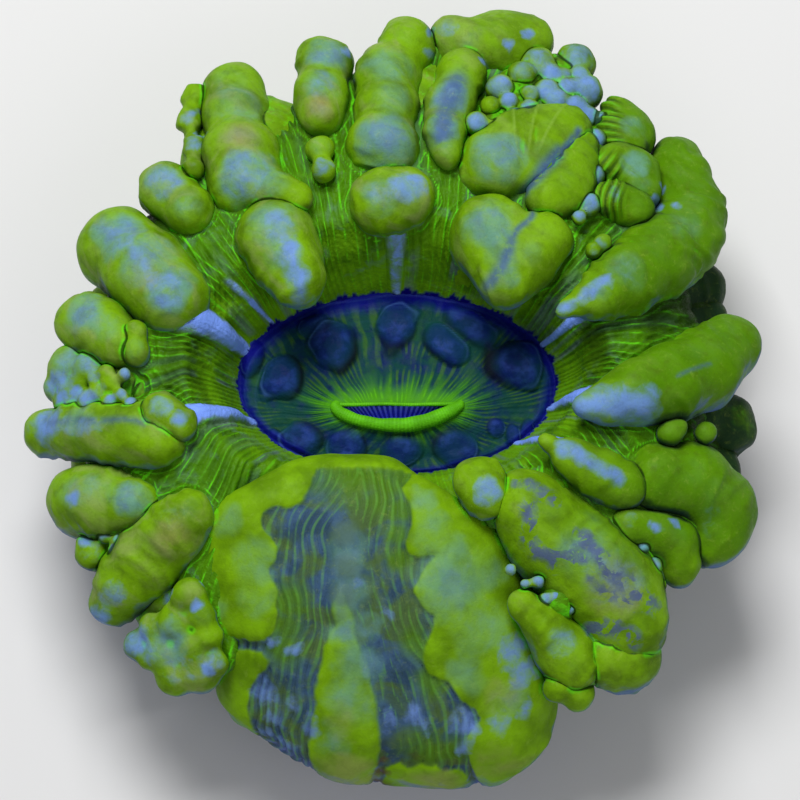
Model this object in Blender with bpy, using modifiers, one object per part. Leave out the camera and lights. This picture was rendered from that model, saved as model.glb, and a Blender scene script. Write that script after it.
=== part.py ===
"""Button coral: one fleshy polyp with swollen lobes round a sunken oral disc and a slit mouth.

Run it with: blender --background --python part.py
Metres, +Z up. The origin is the centre of the flat base, where the coral was cut off its rock.
A bearing is in degrees, anticlockwise from +X seen from above. A reach is the distance from the Z axis.
"""

import math
import random

import bmesh
import bpy
from mathutils import Matrix

MM = 0.001

# Driving dimensions, in millimetres.
CREST_HEIGHT = 41.0  # top of the flesh round the oral disc
EDGE_DROP = 15.0  # how far the top of the flesh falls from the crest to its outer edge
CREST_HALF = (31.0, 20.0)  # half width and half depth of the crest line
EDGE_HALF = (54.0, 60.0)  # the same for the outer edge of the lobes
SINK = 0.75  # share of a bulge's radius that lies under the top of the flesh
WAIST = 0.94  # width of a lobe between two bulges, as a share of theirs

DISC_HALF = (24.2, 14.4)
DISC_HEIGHT = 24.0
MOUTH_PLACE = (0.0, -5.0)
MOUTH_HALF = (7.6, 1.7)
MOUTH_DEPTH = 8.0
LIP_HALF = (8.0, 2.2)
LIP_HEIGHT = 26.2
LIP_RADIUS = 0.9
LIP_STEPS = 32

VOXEL = 0.9
SMOOTH_STEPS = 5
KEPT_SHARE = 0.072
BASE_CUT_DEPTH = 12.0

# Rings of the polyp's body from the foot up, over the crest and down to the oral disc:
# half width, half depth, height and shift along Y.
BODY_RINGS = [
    (26.0, 27.0, -4.0, -2.0),
    (26.5, 27.5, 0.0, -2.0),
    (28.0, 29.0, 5.0, -2.0),
    (35.0, 36.5, 10.0, -2.5),
    (43.0, 46.0, 15.0, -3.0),
    (47.0, 50.5, 20.0, -3.5),
    (48.0, 51.5, 24.0, -3.5),
    (46.0, 49.0, 28.5, -3.0),
    (41.5, 42.0, 33.0, -2.0),
    (36.0, 31.0, 36.5, -1.0),
    (31.5, 22.0, 37.0, 0.0),
    (28.0, 18.2, 32.5, 0.0),
    (25.2, 15.4, 26.5, 0.0),
    (23.4, 13.6, 24.0, 0.0),
    (14.0, 8.0, 24.4, -2.0),
    (6.0, 2.4, 25.6, -4.5),
]

# Broad swellings that fill out the flesh under the lobes: bearing, reach, height, and half sizes
# along the reach, across it and up.
SWELLINGS = [
    (266.0, 34.0, 21.0, (22.0, 23.0, 14.5)),
    (255.0, 46.0, 19.0, (12.0, 12.0, 12.0)),
    (282.0, 46.0, 19.0, (12.5, 14.0, 12.5)),
    (268.0, 49.5, 18.0, (11.0, 13.0, 11.0)),
    (62.0, 40.0, 23.0, (14.0, 15.0, 11.0)),
    (225.0, 43.0, 22.0, (11.0, 12.0, 9.0)),
    (122.0, 40.0, 22.0, (13.0, 14.0, 10.0)),
    (88.0, 42.0, 22.0, (12.0, 12.0, 10.0)),
]

# Low ridges down the inner wall from the crest to the rim of the disc: bearing, half width.
WALL_RIDGES = [(15, 1.8), (90, 2.2), (169, 2.2), (196, 2.2), (332, 2.2), (350, 2.3)]

# Lobes that hang lower than their neighbours: bearing, reach, height, half width.
HANGING_BULGES = [(354, 50.0, 18.0, 4.6), (346, 49.0, 17.0, 4.4), (20, 48.0, 18.0, 4.8), (14, 47.5, 17.0, 4.4)]

# Each lobe is a row of bulges: bearing, reach, half width, half length along the reach.
LOBES = {
    "north": [(91, 25, 5.5, 4.4), (94, 34, 6, 5.8), (92, 45, 6.3, 5.8), (89, 51.5, 5, 4.2)],
    "north_by_west": [(104, 43, 4.3, 5.2), (102, 50, 4, 3.2), (108, 35, 2, 2), (110, 31, 2.2, 2.2)],
    "north_west": [(122, 30.5, 3.6, 2.8), (128, 37.5, 5.8, 7.4), (120, 48, 5.7, 4.8), (118, 52, 4.8, 3.6)],
    "north_west_flank": [(126, 51, 2.4, 4.5)],
    "west_north_west": [(142, 44, 4.2, 4.4), (145, 38, 2.2, 2.4)],
    "west_by_north": [(155, 45.5, 5.8, 5.8), (159, 40, 6.4, 6.4), (165, 35, 4.8, 4.8)],
    "inner_north_west": [(134, 26, 5.7, 5.5), (141, 20.5, 3.6, 3.8)],
    "west_upper": [(170, 47.5, 4.3, 4.3), (176, 43.5, 3.2, 3.2), (177, 39, 2.4, 3.3)],
    "west_middle": [(180, 49.5, 3.8, 3.6), (179, 45.5, 2.4, 2.2)],
    "west": [(187.5, 52.5, 3.3, 3.3), (191, 47.5, 4, 4.2), (194, 43, 4.1, 4.2), (195, 37, 4.2, 5)],
    "west_by_south": [(202, 52, 4.6, 4.6), (204, 48, 4.8, 4.8), (206, 44.5, 4, 4)],
    "west_south_west": [(217, 40, 4.6, 4.6), (217.5, 45, 4.9, 4.9), (218.5, 50, 4.6, 4.6), (219, 55, 3.5, 3.5)],
    "south_west": [(229, 47, 4, 4), (231, 52, 4.3, 4.3), (227, 55, 2.8, 4), (235, 55, 4, 3.6)],
    "south_left_fold": [(230, 25, 4.8, 4), (229, 33.5, 5.2, 5), (239, 42.5, 5.8, 5), (248, 51, 5, 5), (254, 57.5, 4, 4)],
    "south_tongue": [(252, 25.5, 3, 4), (259, 37, 3.4, 5), (262, 48, 5.4, 5), (264, 56, 6.8, 4.6)],
    "south_right_fold": [(290, 21.5, 5.6, 4), (294, 27.5, 8.6, 7), (289, 38.5, 9.8, 8.5), (287, 49.5, 9, 8), (282, 56.5, 8, 5.4)],
    "inner_south_east": [(301, 24, 3.4, 4.2)],
    "south_east": [(309, 29, 4.8, 4.8), (313, 35.5, 6.8, 6.8), (313, 42, 7.2, 7.2), (312, 48, 5.7, 5.7)],
    "south_by_east": [(299, 42, 2.6, 3.4), (299.5, 48, 3.7, 3.8), (300.5, 52.5, 3.7, 3.4), (298, 55.5, 3.3, 3)],
    "south_east_tip": [(310.5, 54, 5.6, 5.6)],
    "east_south_east_low": [(327, 45.5, 3.4, 3.4), (328, 49.5, 3.1, 3.2), (326, 53, 2.6, 3)],
    "inner_east_south_east": [(331, 35, 4.3, 4.4), (330, 30, 2.8, 3.4)],
    "east_south_east": [(335, 42, 4.3, 4.4), (337, 47, 6.9, 6.6), (337, 52, 6.1, 5.8)],
    "east": [(349, 31, 3, 3.4), (351.5, 37, 4, 4.2), (356, 42.5, 5.4, 5.4), (2, 47.5, 5.6, 5.4), (5, 50, 4.6, 4.4)],
    "north_east": [
        (12, 27, 1.7, 2.6),
        (16, 32, 3, 3.6),
        (21, 38.5, 5.4, 5.4),
        (26, 45, 5.7, 5.7),
        (30, 51, 4.6, 4.8),
        (35, 53.5, 4, 4.2),
        (39, 54.5, 3.6, 3.6),
    ],
    "inner_north_north_east": [(54, 23, 5.2, 5.2), (38, 26, 5.1, 5.1), (32, 18.5, 2.4, 2.6)],
    "shell": [(62.5, 35, 6, 6), (58, 42, 5.2, 5.2), (48, 39.5, 5, 5.6), (42, 36.5, 3.6, 4)],
    "north_by_east": [(77, 34.5, 3.4, 3.6), (78.5, 40, 4.4, 4.6), (79, 46, 4.1, 4.4), (75, 55.5, 5.8, 5), (68, 57.5, 4, 4)],
    "pearls": [
        (66, 54.5, 3.2, 3.2),
        (62, 57, 3.2, 3.2),
        (70, 46, 2.4, 2.6),
        (72, 39.5, 2.2, 2.2),
        (58.5, 52.5, 3.2, 3.2),
        (61, 48, 2.6, 2),
        (55, 49.5, 2.4, 2.2),
    ],
    "north_east_small": [
        (50, 51, 2.8, 2.8),
        (45, 49.5, 3, 3),
        (45, 43.5, 2.4, 2.6),
        (40, 45.5, 3.3, 3.2),
        (35.5, 44.5, 2.4, 2.4),
        (32, 36, 2, 2.4),
    ],
}

# Round knobs of the oral disc: bearing, reach, half width.
DISC_KNOBS = [
    (149, 10.8, 3.4),
    (95, 9.2, 2.8),
    (40, 9.5, 3.2),
    (42, 14.6, 2.6),
    (7, 17.4, 3.6),
    (177, 17.1, 3.4),
    (214, 16.6, 2.9),
    (235, 13.5, 2.6),
    (272, 12.0, 2.8),
    (307, 14.4, 2.8),
    (332, 18.4, 2.2),
]

# The lower row of bulges that hangs over the foot, all the way round.
SKIRT_COUNT = 24
SKIRT_HALF = (45.5, 47.5)
SKIRT_SEED = 7


def ellipse_reach(half, bearing):
    """Distance from the centre to an ellipse of these half sizes, along a bearing in radians."""
    across, along = half
    return across * along / math.hypot(along * math.cos(bearing), across * math.sin(bearing))


def flesh_top(bearing, reach):
    """Height of the top of the flesh: level inside the crest, and falling outside it."""
    crest = ellipse_reach(CREST_HALF, bearing)
    edge = ellipse_reach(EDGE_HALF, bearing)
    out = max(0.0, (reach - crest) / (edge - crest))
    return CREST_HEIGHT - EDGE_DROP * out**1.8


def make_ball():
    """A unit sphere, whose copies make the bulges."""
    ball = bpy.data.meshes.new("ball")
    bm = bmesh.new()
    bmesh.ops.create_uvsphere(bm, u_segments=24, v_segments=14, radius=1.0)
    bm.to_mesh(ball)
    bm.free()
    return ball


def add_ellipsoid(bm, ball, bearing, reach, height, half_sizes):
    """Adds one closed ellipsoid to bm. half_sizes are along the reach, across it and up."""
    place = (reach * math.cos(bearing) * MM, reach * math.sin(bearing) * MM, height * MM)
    matrix = (
        Matrix.Translation(place)
        @ Matrix.Rotation(bearing, 4, "Z")
        @ Matrix.Diagonal((*[half * MM for half in half_sizes], 1.0))
    )
    bulge = ball.copy()
    bulge.transform(matrix)
    bm.from_mesh(bulge)
    bpy.data.meshes.remove(bulge)


def add_body(bm):
    """The body is a loft through ellipses of unlike shape, closed at the foot and at the disc."""
    around = 72
    rings = []
    for half_x, half_y, height, shift in BODY_RINGS:
        ring = []
        for i in range(around):
            turn = 2 * math.pi * i / around
            x = half_x * math.cos(turn)
            y = half_y * math.sin(turn) + shift
            ring.append(bm.verts.new((x * MM, y * MM, height * MM)))
        rings.append(ring)
    for low, high in zip(rings, rings[1:]):
        for i in range(around):
            j = (i + 1) % around
            bm.faces.new((low[i], low[j], high[j], high[i]))
    bm.faces.new(reversed(rings[0]))
    bm.faces.new(rings[-1])


def add_swellings(bm, ball):
    for bearing, reach, height, half_sizes in SWELLINGS:
        add_ellipsoid(bm, ball, math.radians(bearing), reach, height, half_sizes)
    for bearing, reach, height, radius in HANGING_BULGES:
        add_ellipsoid(bm, ball, math.radians(bearing), reach, height, (radius, radius, radius))


def add_wall_ridges(bm, ball):
    """Each ridge is five small bulges down the wall, the lowest of them on the rim."""
    for degrees, half_width in WALL_RIDGES:
        bearing = math.radians(degrees)
        top = ellipse_reach((33.0, 24.0), bearing)
        rim = ellipse_reach(DISC_HALF, bearing)
        for step in range(5):
            share = step / 4
            reach = top + (rim - top) * share
            height = 36.0 - 11.0 * share**1.3
            sizes = (1.4 * half_width, half_width * (1 - 0.3 * share), half_width)
            add_ellipsoid(bm, ball, bearing, reach, height, sizes)


def add_lobes(bm, ball):
    """Each lobe is its bulges, with a slightly narrower one halfway between neighbours."""
    for bulges in LOBES.values():
        row = [bulges[0]]
        for here, after in zip(bulges, bulges[1:]):
            middle = [(one + other) / 2 for one, other in zip(here, after)]
            row.append((middle[0], middle[1], middle[2] * WAIST, middle[3]))
            row.append(after)
        for degrees, reach, half_width, half_length in row:
            bearing = math.radians(degrees)
            radius = math.sqrt(half_width * half_length)
            height = flesh_top(bearing, reach) - SINK * radius
            add_ellipsoid(bm, ball, bearing, reach, height, (half_length, half_width, radius))


def add_disc_knobs(bm, ball):
    for degrees, reach, radius in DISC_KNOBS:
        height = DISC_HEIGHT - 0.35 * radius
        add_ellipsoid(bm, ball, math.radians(degrees), reach, height, (radius, radius, radius))


def add_skirt(bm, ball):
    """Smaller bulges under the lobes, of uneven size, in two staggered rows."""
    chance = random.Random(SKIRT_SEED)
    for i in range(SKIRT_COUNT):
        bearing = 2 * math.pi * (i + chance.uniform(-0.25, 0.25)) / SKIRT_COUNT
        radius = chance.uniform(4.6, 6.4)
        reach = ellipse_reach(SKIRT_HALF, bearing) - chance.uniform(0.0, 4.0)
        height = chance.uniform(14.0, 18.0)
        add_ellipsoid(bm, ball, bearing, reach, height, (radius, radius * 1.05, radius * 0.95))


def new_object(name, mesh, collection):
    made = bpy.data.objects.new(name, mesh)
    collection.objects.link(made)
    return made


def new_helper(name, mesh, collection):
    """A cutter or a shape to be joined, which isn't part of the coral by itself."""
    made = new_object(name, mesh, collection)
    made.hide_render = True
    made.display_type = "WIRE"
    return made


def keep_largest_body(bm):
    """Removes every loose scrap and closed pocket, so that one body is left."""
    left = set(bm.verts)
    bodies = []
    while left:
        edge_of_body = [left.pop()]
        body = list(edge_of_body)
        while edge_of_body:
            point = edge_of_body.pop()
            for edge in point.link_edges:
                other = edge.other_vert(point)
                if other in left:
                    left.remove(other)
                    edge_of_body.append(other)
                    body.append(other)
        bodies.append(body)
    largest = max(bodies, key=len)
    scraps = [point for body in bodies if body is not largest for point in body]
    bmesh.ops.delete(bm, geom=scraps, context="VERTS")


def apply_modifiers(target):
    """Bakes the modifiers into the mesh and keeps its largest body only."""
    bpy.context.view_layer.update()
    graph = bpy.context.evaluated_depsgraph_get()
    mesh = bpy.data.meshes.new_from_object(target.evaluated_get(graph))
    target.modifiers.clear()
    target.data = mesh
    bm = bmesh.new()
    bm.from_mesh(mesh)
    keep_largest_body(bm)
    bm.to_mesh(mesh)
    bm.free()


def make_lips(collection):
    """A closed ring of round section, drawn out to the mouth's shape."""
    data = bpy.data.curves.new("lips", "CURVE")
    line = data.splines.new("POLY")
    line.points.add(LIP_STEPS - 1)
    for i, point in enumerate(line.points):
        turn = 2 * math.pi * i / LIP_STEPS
        x = MOUTH_PLACE[0] + LIP_HALF[0] * math.cos(turn)
        y = MOUTH_PLACE[1] + LIP_HALF[1] * math.sin(turn)
        point.co = (x * MM, y * MM, LIP_HEIGHT * MM, 1.0)
    line.use_cyclic_u = True
    data.dimensions = "3D"
    data.bevel_depth = LIP_RADIUS * MM
    data.bevel_resolution = 1
    curve_object = new_object("lips_curve", data, collection)
    bpy.context.view_layer.update()
    graph = bpy.context.evaluated_depsgraph_get()
    mesh = bpy.data.meshes.new_from_object(curve_object.evaluated_get(graph))
    bpy.data.objects.remove(curve_object)
    return new_helper("lips", mesh, collection)


def make_throat_cutter(collection):
    mesh = bpy.data.meshes.new("throat_cutter")
    bm = bmesh.new()
    place = (MOUTH_PLACE[0] * MM, MOUTH_PLACE[1] * MM, LIP_HEIGHT * MM)
    matrix = Matrix.Translation(place) @ Matrix.Diagonal(
        (MOUTH_HALF[0] * MM, MOUTH_HALF[1] * MM, MOUTH_DEPTH * MM, 1.0)
    )
    bmesh.ops.create_uvsphere(bm, u_segments=28, v_segments=12, radius=1.0, matrix=matrix)
    bm.to_mesh(mesh)
    bm.free()
    return new_helper("throat_cutter", mesh, collection)


def make_base_cutter(collection):
    mesh = bpy.data.meshes.new("base_cutter")
    bm = bmesh.new()
    side = 80.0 * MM
    matrix = Matrix.Translation((0.0, 0.0, -BASE_CUT_DEPTH / 2 * MM)) @ Matrix.Diagonal(
        (side, side, BASE_CUT_DEPTH * MM, 1.0)
    )
    bmesh.ops.create_cube(bm, size=1.0, matrix=matrix)
    bm.to_mesh(mesh)
    bm.free()
    return new_helper("base_cutter", mesh, collection)


def add_boolean(target, name, operation, other):
    boolean = target.modifiers.new(name, "BOOLEAN")
    boolean.operation = operation
    boolean.solver = "EXACT"
    boolean.object = other


def make_flesh_material():
    material = bpy.data.materials.new("coral_flesh")
    material.use_nodes = True
    surface = material.node_tree.nodes["Principled BSDF"]
    surface.inputs["Base Color"].default_value = (0.20, 0.40, 0.03, 1.0)
    surface.inputs["Roughness"].default_value = 0.35
    surface.inputs["Metallic"].default_value = 0.0
    return material


def make_coral(collection, cutters):
    lips = make_lips(cutters)
    throat_cutter = make_throat_cutter(cutters)
    base_cutter = make_base_cutter(cutters)

    mesh = bpy.data.meshes.new("button_coral")
    ball = make_ball()
    bm = bmesh.new()
    add_body(bm)
    add_swellings(bm, ball)
    add_lobes(bm, ball)
    add_wall_ridges(bm, ball)
    add_skirt(bm, ball)
    add_disc_knobs(bm, ball)
    bm.to_mesh(mesh)
    bm.free()
    bpy.data.meshes.remove(ball)
    coral = new_object("button_coral", mesh, collection)

    fuse = coral.modifiers.new("fuse", "REMESH")
    fuse.mode = "VOXEL"
    fuse.voxel_size = VOXEL * MM
    soften = coral.modifiers.new("soften", "SMOOTH")
    soften.factor = 0.5
    soften.iterations = SMOOTH_STEPS
    lighten = coral.modifiers.new("lighten", "DECIMATE")
    lighten.ratio = KEPT_SHARE
    apply_modifiers(coral)

    add_boolean(coral, "cut_base", "DIFFERENCE", base_cutter)
    add_boolean(coral, "cut_throat", "DIFFERENCE", throat_cutter)
    add_boolean(coral, "join_lips", "UNION", lips)
    coral.data.materials.append(make_flesh_material())
    return coral


def main():
    for old in list(bpy.data.objects):
        bpy.data.objects.remove(old)
    scene_root = bpy.context.scene.collection
    coral_collection = bpy.data.collections.new("Button coral")
    cutter_collection = bpy.data.collections.new("Cutters")
    scene_root.children.link(coral_collection)
    scene_root.children.link(cutter_collection)
    make_coral(coral_collection, cutter_collection)


main()
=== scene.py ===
"""A button coral: one fleshy polyp with swollen lobes round a sunken, deep blue oral disc.

Lengths are in millimetres in the tables and in metres in Blender. A bearing is in degrees,
anticlockwise from +X seen from above, and a reach is the distance from the Z axis.
"""

import math
import random
from itertools import product

import bpy
import numpy as np
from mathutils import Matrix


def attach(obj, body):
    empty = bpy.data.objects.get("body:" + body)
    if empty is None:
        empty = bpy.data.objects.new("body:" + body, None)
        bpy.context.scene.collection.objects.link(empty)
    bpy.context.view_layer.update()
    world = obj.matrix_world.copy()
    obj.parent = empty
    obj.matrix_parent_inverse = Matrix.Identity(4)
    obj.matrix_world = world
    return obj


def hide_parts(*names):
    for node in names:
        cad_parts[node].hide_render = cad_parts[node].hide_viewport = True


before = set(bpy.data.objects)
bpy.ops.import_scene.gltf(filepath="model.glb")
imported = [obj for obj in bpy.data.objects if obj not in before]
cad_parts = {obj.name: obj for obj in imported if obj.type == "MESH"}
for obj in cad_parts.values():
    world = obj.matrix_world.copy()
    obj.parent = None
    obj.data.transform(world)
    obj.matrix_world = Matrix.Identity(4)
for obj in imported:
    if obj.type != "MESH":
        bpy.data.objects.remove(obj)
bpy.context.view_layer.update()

# ---------------------------------------------------------------------------------------------
# The foot and the underside: the narrow stalk of flesh that the polyp stands on, cut off flat
# at the bottom, and the smooth skin that widens from it up to the overhanging lobes.

MM = 0.001
FOOT_STEP = 1.8
FOOT_TURNS = 240
# Half width, half depth, height and shift along Y.
FOOT_RINGS = [
    (0.01, 0.01, 0.0, -2.0), (14.0, 14.5, 0.0, -2.0), (26.2, 27.2, 0.0, -2.0), (26.7, 27.7, 0.6, -2.0),
    (28.0, 29.0, 5.0, -2.0), (35.0, 36.5, 10.0, -2.5), (43.0, 46.0, 15.0, -3.0), (46.0, 49.4, 18.5, -3.4),
    (46.0, 49.4, 20.0, -3.4), (44.0, 47.5, 21.5, -3.4), (41.0, 44.5, 22.0, -3.4),
]


def lumps(points, size, seed):
    """Smooth random swelling at each point, from -1 to 1, in lumps about size millimetres wide."""
    places = np.asarray(points, float) / size + seed * 7.31
    cell = np.floor(places).astype(np.int64)
    share = places - cell
    share = share * share * (3 - 2 * share)
    total = np.zeros(places.shape[:-1])
    for corner in product((0, 1), repeat=3):
        near = cell + corner
        # Each corner's own value is a whole number that its place is mixed into.
        mixed = near[..., 0] * 374761393 + near[..., 1] * 668265263 + near[..., 2] * 974634777
        mixed = (mixed ^ (mixed >> 13)) * 1274126177
        value = ((mixed ^ (mixed >> 16)) & 0xFFFF) / 32767.5 - 1
        total += value * np.prod(np.where(corner, share, 1 - share), axis=-1)
    return total


def rings_between(rings, step):
    """The same outline with more rings, no further apart than step, on a smooth curve, and how far
    along it each ring lies."""
    rings = np.array(rings, float)
    spread = np.concatenate([[0], np.cumsum(np.linalg.norm(np.diff(rings[:, :3], axis=0), axis=1))])
    fine = np.linspace(0, spread[-1], int(spread[-1] / step) + 2)
    dense = np.stack([np.interp(fine, spread, rings[:, k]) for k in range(4)], axis=1)
    soft = dense.copy()
    for _ in range(int(2.0 / step)):
        soft[1:-1] = 0.25 * soft[:-2] + 0.5 * soft[1:-1] + 0.25 * soft[2:]
    return soft, fine


def turns_round(count):
    """The bearings, in radians, of evenly spaced points round a ring."""
    return np.linspace(0, 2 * math.pi, count, endpoint=False)


def ring_points(rings, turns):
    """Points on each elliptical ring at each turn, as rows of rings."""
    x = rings[:, 0, None] * np.cos(turns)
    y = rings[:, 1, None] * np.sin(turns) + rings[:, 3, None]
    z = np.broadcast_to(rings[:, 2, None], x.shape)
    return np.stack([x, y, z], axis=-1)


def grid_normals(points, closed):
    """Outward normals of a grid of points whose rows run from the foot inwards."""
    if closed:
        across = np.roll(points, -1, axis=1) - np.roll(points, 1, axis=1)
    else:
        across = np.gradient(points, axis=1)
    along = np.gradient(points, axis=0)
    normal = np.cross(across, along)
    return normal / np.maximum(np.linalg.norm(normal, axis=-1, keepdims=True), 1e-9)


def piece_from_grid(name, points, closed, marks=None):
    """A mesh object from a grid of points in millimetres. marks are named values at each point."""
    rows, columns = points.shape[:2]
    index = np.arange(rows * columns).reshape(rows, columns)
    right = np.roll(index, -1, axis=1)
    if not closed:
        index, right = index[:, :-1], right[:, :-1]
    quads = np.stack([index[:-1], right[:-1], right[1:], index[1:]], axis=-1).reshape(-1, 4)
    spread = {mark: np.broadcast_to(values, (rows, columns)) for mark, values in (marks or {}).items()}
    return piece_from_faces(name, points.reshape(-1, 3), quads, spread)


def piece_from_faces(name, points, quads, marks):
    """A mesh object from points in millimetres and the four corners of each face."""
    mesh = bpy.data.meshes.new(name)
    mesh.vertices.add(len(points))
    mesh.vertices.foreach_set("co", (points * MM).astype(np.float32).ravel())
    mesh.loops.add(quads.size)
    mesh.loops.foreach_set("vertex_index", quads.astype(np.int32).ravel())
    mesh.polygons.add(len(quads))
    mesh.polygons.foreach_set("loop_start", np.arange(0, quads.size, quads.shape[1], dtype=np.int32))
    mesh.update(calc_edges=True)
    mesh.shade_smooth()
    for mark, values in marks.items():
        attribute = mesh.attributes.new(mark, "FLOAT", "POINT")
        attribute.data.foreach_set("value", np.asarray(values, np.float32).ravel())
    made = bpy.data.objects.new(name, mesh)
    bpy.context.scene.collection.objects.link(made)
    return made


def linear(red, green, blue):
    """A screen colour from 0 to 255 as the linear colour that a shader takes."""
    channels = [c / 255 for c in (red, green, blue)]
    return tuple(c / 12.92 if c <= 0.04045 else ((c + 0.055) / 1.055) ** 2.4 for c in channels) + (1.0,)


class Paint:
    """Builds one material from the bottom layer of colour up."""

    def __init__(self, name, roughness=0.5, shine=0.06):
        self.material = bpy.data.materials.new(name)
        self.material.use_nodes = True
        self.nodes = self.material.node_tree.nodes
        self.links = self.material.node_tree.links
        self.surface = self.nodes["Principled BSDF"]
        self.surface.inputs["Roughness"].default_value = roughness
        self.surface.inputs["Specular IOR Level"].default_value = shine
        self.place = self.nodes.new("ShaderNodeTexCoord").outputs["Object"]
        self.colour = None

    def mark(self, name, low=None, high=None):
        """The value of a mark that the mesh carries, stretched between low and high if they are given."""
        node = self.nodes.new("ShaderNodeAttribute")
        node.attribute_name = name
        value = node.outputs["Fac"]
        return value if low is None else self.stretch(value, low, high)

    def noise(self, size, detail=3.0, roughness=0.55, warp=0.0, low=0.35, high=0.65, long=1.0, tall=1.0):
        """Cloudy noise with features about size millimetres wide, stretched between low and high.
        long draws the features out along a slanting line, and tall upwards."""
        node = self.nodes.new("ShaderNodeTexNoise")
        node.inputs["Scale"].default_value = 1 / (size * MM)
        node.inputs["Detail"].default_value = detail
        node.inputs["Roughness"].default_value = roughness
        node.inputs["Distortion"].default_value = warp
        place = self.place
        if long != 1.0 or tall != 1.0:
            turn = self.nodes.new("ShaderNodeMapping")
            turn.vector_type = "TEXTURE"
            turn.inputs["Rotation"].default_value = (0, 0, math.radians(52))
            turn.inputs["Scale"].default_value = (1, long, tall)
            self.links.new(place, turn.inputs["Vector"])
            place = turn.outputs["Vector"]
        self.links.new(place, node.inputs["Vector"])
        return self.stretch(node.outputs["Fac"], low, high)

    def stretch(self, value, low, high):
        """value made 0 at low and 1 at high, smoothly."""
        node = self.nodes.new("ShaderNodeMapRange")
        node.interpolation_type = "SMOOTHSTEP"
        node.inputs["From Min"].default_value = low
        node.inputs["From Max"].default_value = high
        self.links.new(value, node.inputs["Value"])
        return node.outputs["Result"]

    def math(self, operation, one, other):
        """The named operation on two values, either of which may be a plain number."""
        node = self.nodes.new("ShaderNodeMath")
        node.operation = operation
        node.use_clamp = operation in ("MULTIPLY", "ADD", "SUBTRACT")
        for socket, value in zip(node.inputs, (one, other)):
            if isinstance(value, (int, float)):
                socket.default_value = value
            else:
                self.links.new(value, socket)
        return node.outputs["Value"]

    def both(self, one, other):
        """As strong as one and the other multiplied."""
        return self.math("MULTIPLY", one, other)

    def without(self, value):
        """Strong where value is weak."""
        return self.math("SUBTRACT", 1.0, value)

    def patch(self, mark, size, low, high):
        """Where a mark is strong, with an uneven edge in clouds about size millimetres wide."""
        ragged = self.both(self.noise(size, detail=4.0, warp=0.4, low=0.3, high=0.7), 0.5)
        return self.stretch(self.raised(self.mark(mark), ragged), low, high)

    def raised(self, mark, ragged):
        """A mark with a ragged edge: nothing where the mark is nothing."""
        rim = self.stretch(mark, 0.0, 0.3)
        node = self.nodes.new("ShaderNodeMath")
        node.operation = "MULTIPLY_ADD"
        for socket, value in zip(node.inputs, (rim, ragged, mark)):
            self.links.new(value, socket)
        return node.outputs["Value"]

    def coat_of(self, colour, where=None, strength=1.0):
        """Lays a colour, from 0 to 255, over what is there, as strongly as where says."""
        colour = linear(*colour)
        if self.colour is None:
            self.colour = colour
            return
        node = self.nodes.new("ShaderNodeMix")
        node.data_type = "RGBA"
        if strength != 1.0:
            where = self.both(where, strength)
        self.links.new(where, node.inputs["Factor"])
        for socket, value in ((node.inputs[6], self.colour), (node.inputs[7], colour)):
            if isinstance(value, tuple):
                socket.default_value = value
            else:
                self.links.new(value, socket)
        self.colour = node.outputs[2]

    def finish(self, bumps, rough=None):
        """bumps are (height, depth in millimetres) pairs, laid one over the other."""
        normal = None
        for height, depth in bumps:
            node = self.nodes.new("ShaderNodeBump")
            node.inputs["Distance"].default_value = depth * MM
            self.links.new(height, node.inputs["Height"])
            if normal is not None:
                self.links.new(normal, node.inputs["Normal"])
            normal = node.outputs["Normal"]
        self.links.new(normal, self.surface.inputs["Normal"])
        if rough is not None:
            low, high, value = rough
            node = self.nodes.new("ShaderNodeMapRange")
            node.inputs["To Min"].default_value = low
            node.inputs["To Max"].default_value = high
            self.links.new(value, node.inputs["Value"])
            self.links.new(node.outputs["Result"], self.surface.inputs["Roughness"])
        self.links.new(self.colour, self.surface.inputs["Base Color"])
        return self.material


OLIVE = (88, 128, 8)
TEAL = (100, 150, 140)

foot_rings, _ = rings_between(FOOT_RINGS, FOOT_STEP)
foot_points = ring_points(foot_rings, turns_round(FOOT_TURNS))
foot_out = grid_normals(foot_points, closed=True)
# The skin has its lumps, and the cut at the bottom stays flat.
foot_free = np.clip(foot_points[..., 2] / 4.0, 0, 1)
foot_points += foot_out * (foot_free * lumps(foot_points, 6.0, 1) * 0.8)[..., None]
foot = piece_from_grid("foot_and_underside", foot_points, closed=True)

paint = Paint("underside_skin", roughness=0.5)
paint.coat_of(OLIVE)
paint.coat_of(TEAL, paint.noise(5.0, warp=0.6), 0.5)
paint.coat_of((120, 118, 96), paint.noise(2.0), 0.25)
foot.data.materials.append(paint.finish([(paint.noise(0.7), 0.15)], (0.4, 0.65, paint.noise(1.5))))
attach(foot, "root")
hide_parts("button_coral")

# ---------------------------------------------------------------------------------------------
# The lobes: water-filled swellings of the mantle that run out from the crest and over the edge.
# Each is one skin drawn over a row of bulges, smooth on some lobes and pinched between the
# bulges on others. The skin is lime green, clouded with grey-blue and violet.

CREST_HEIGHT = 41.0  # top of the flesh round the oral disc
EDGE_DROP = 15.0  # how far the flesh falls from there to the outer edge
CREST_HALF = (31.0, 20.0)  # half width and half depth of the crest line
EDGE_HALF = (54.0, 60.0)  # the same for the outer edge of the lobes
SINK = 0.75  # share of a bulge's radius that lies under the top of the flesh
PLUMPNESS = 1.03  # how much fuller a bulge is than its radius in the table
GAP_REACH = 6.0  # how far off the next lobe still marks the skin
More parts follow.
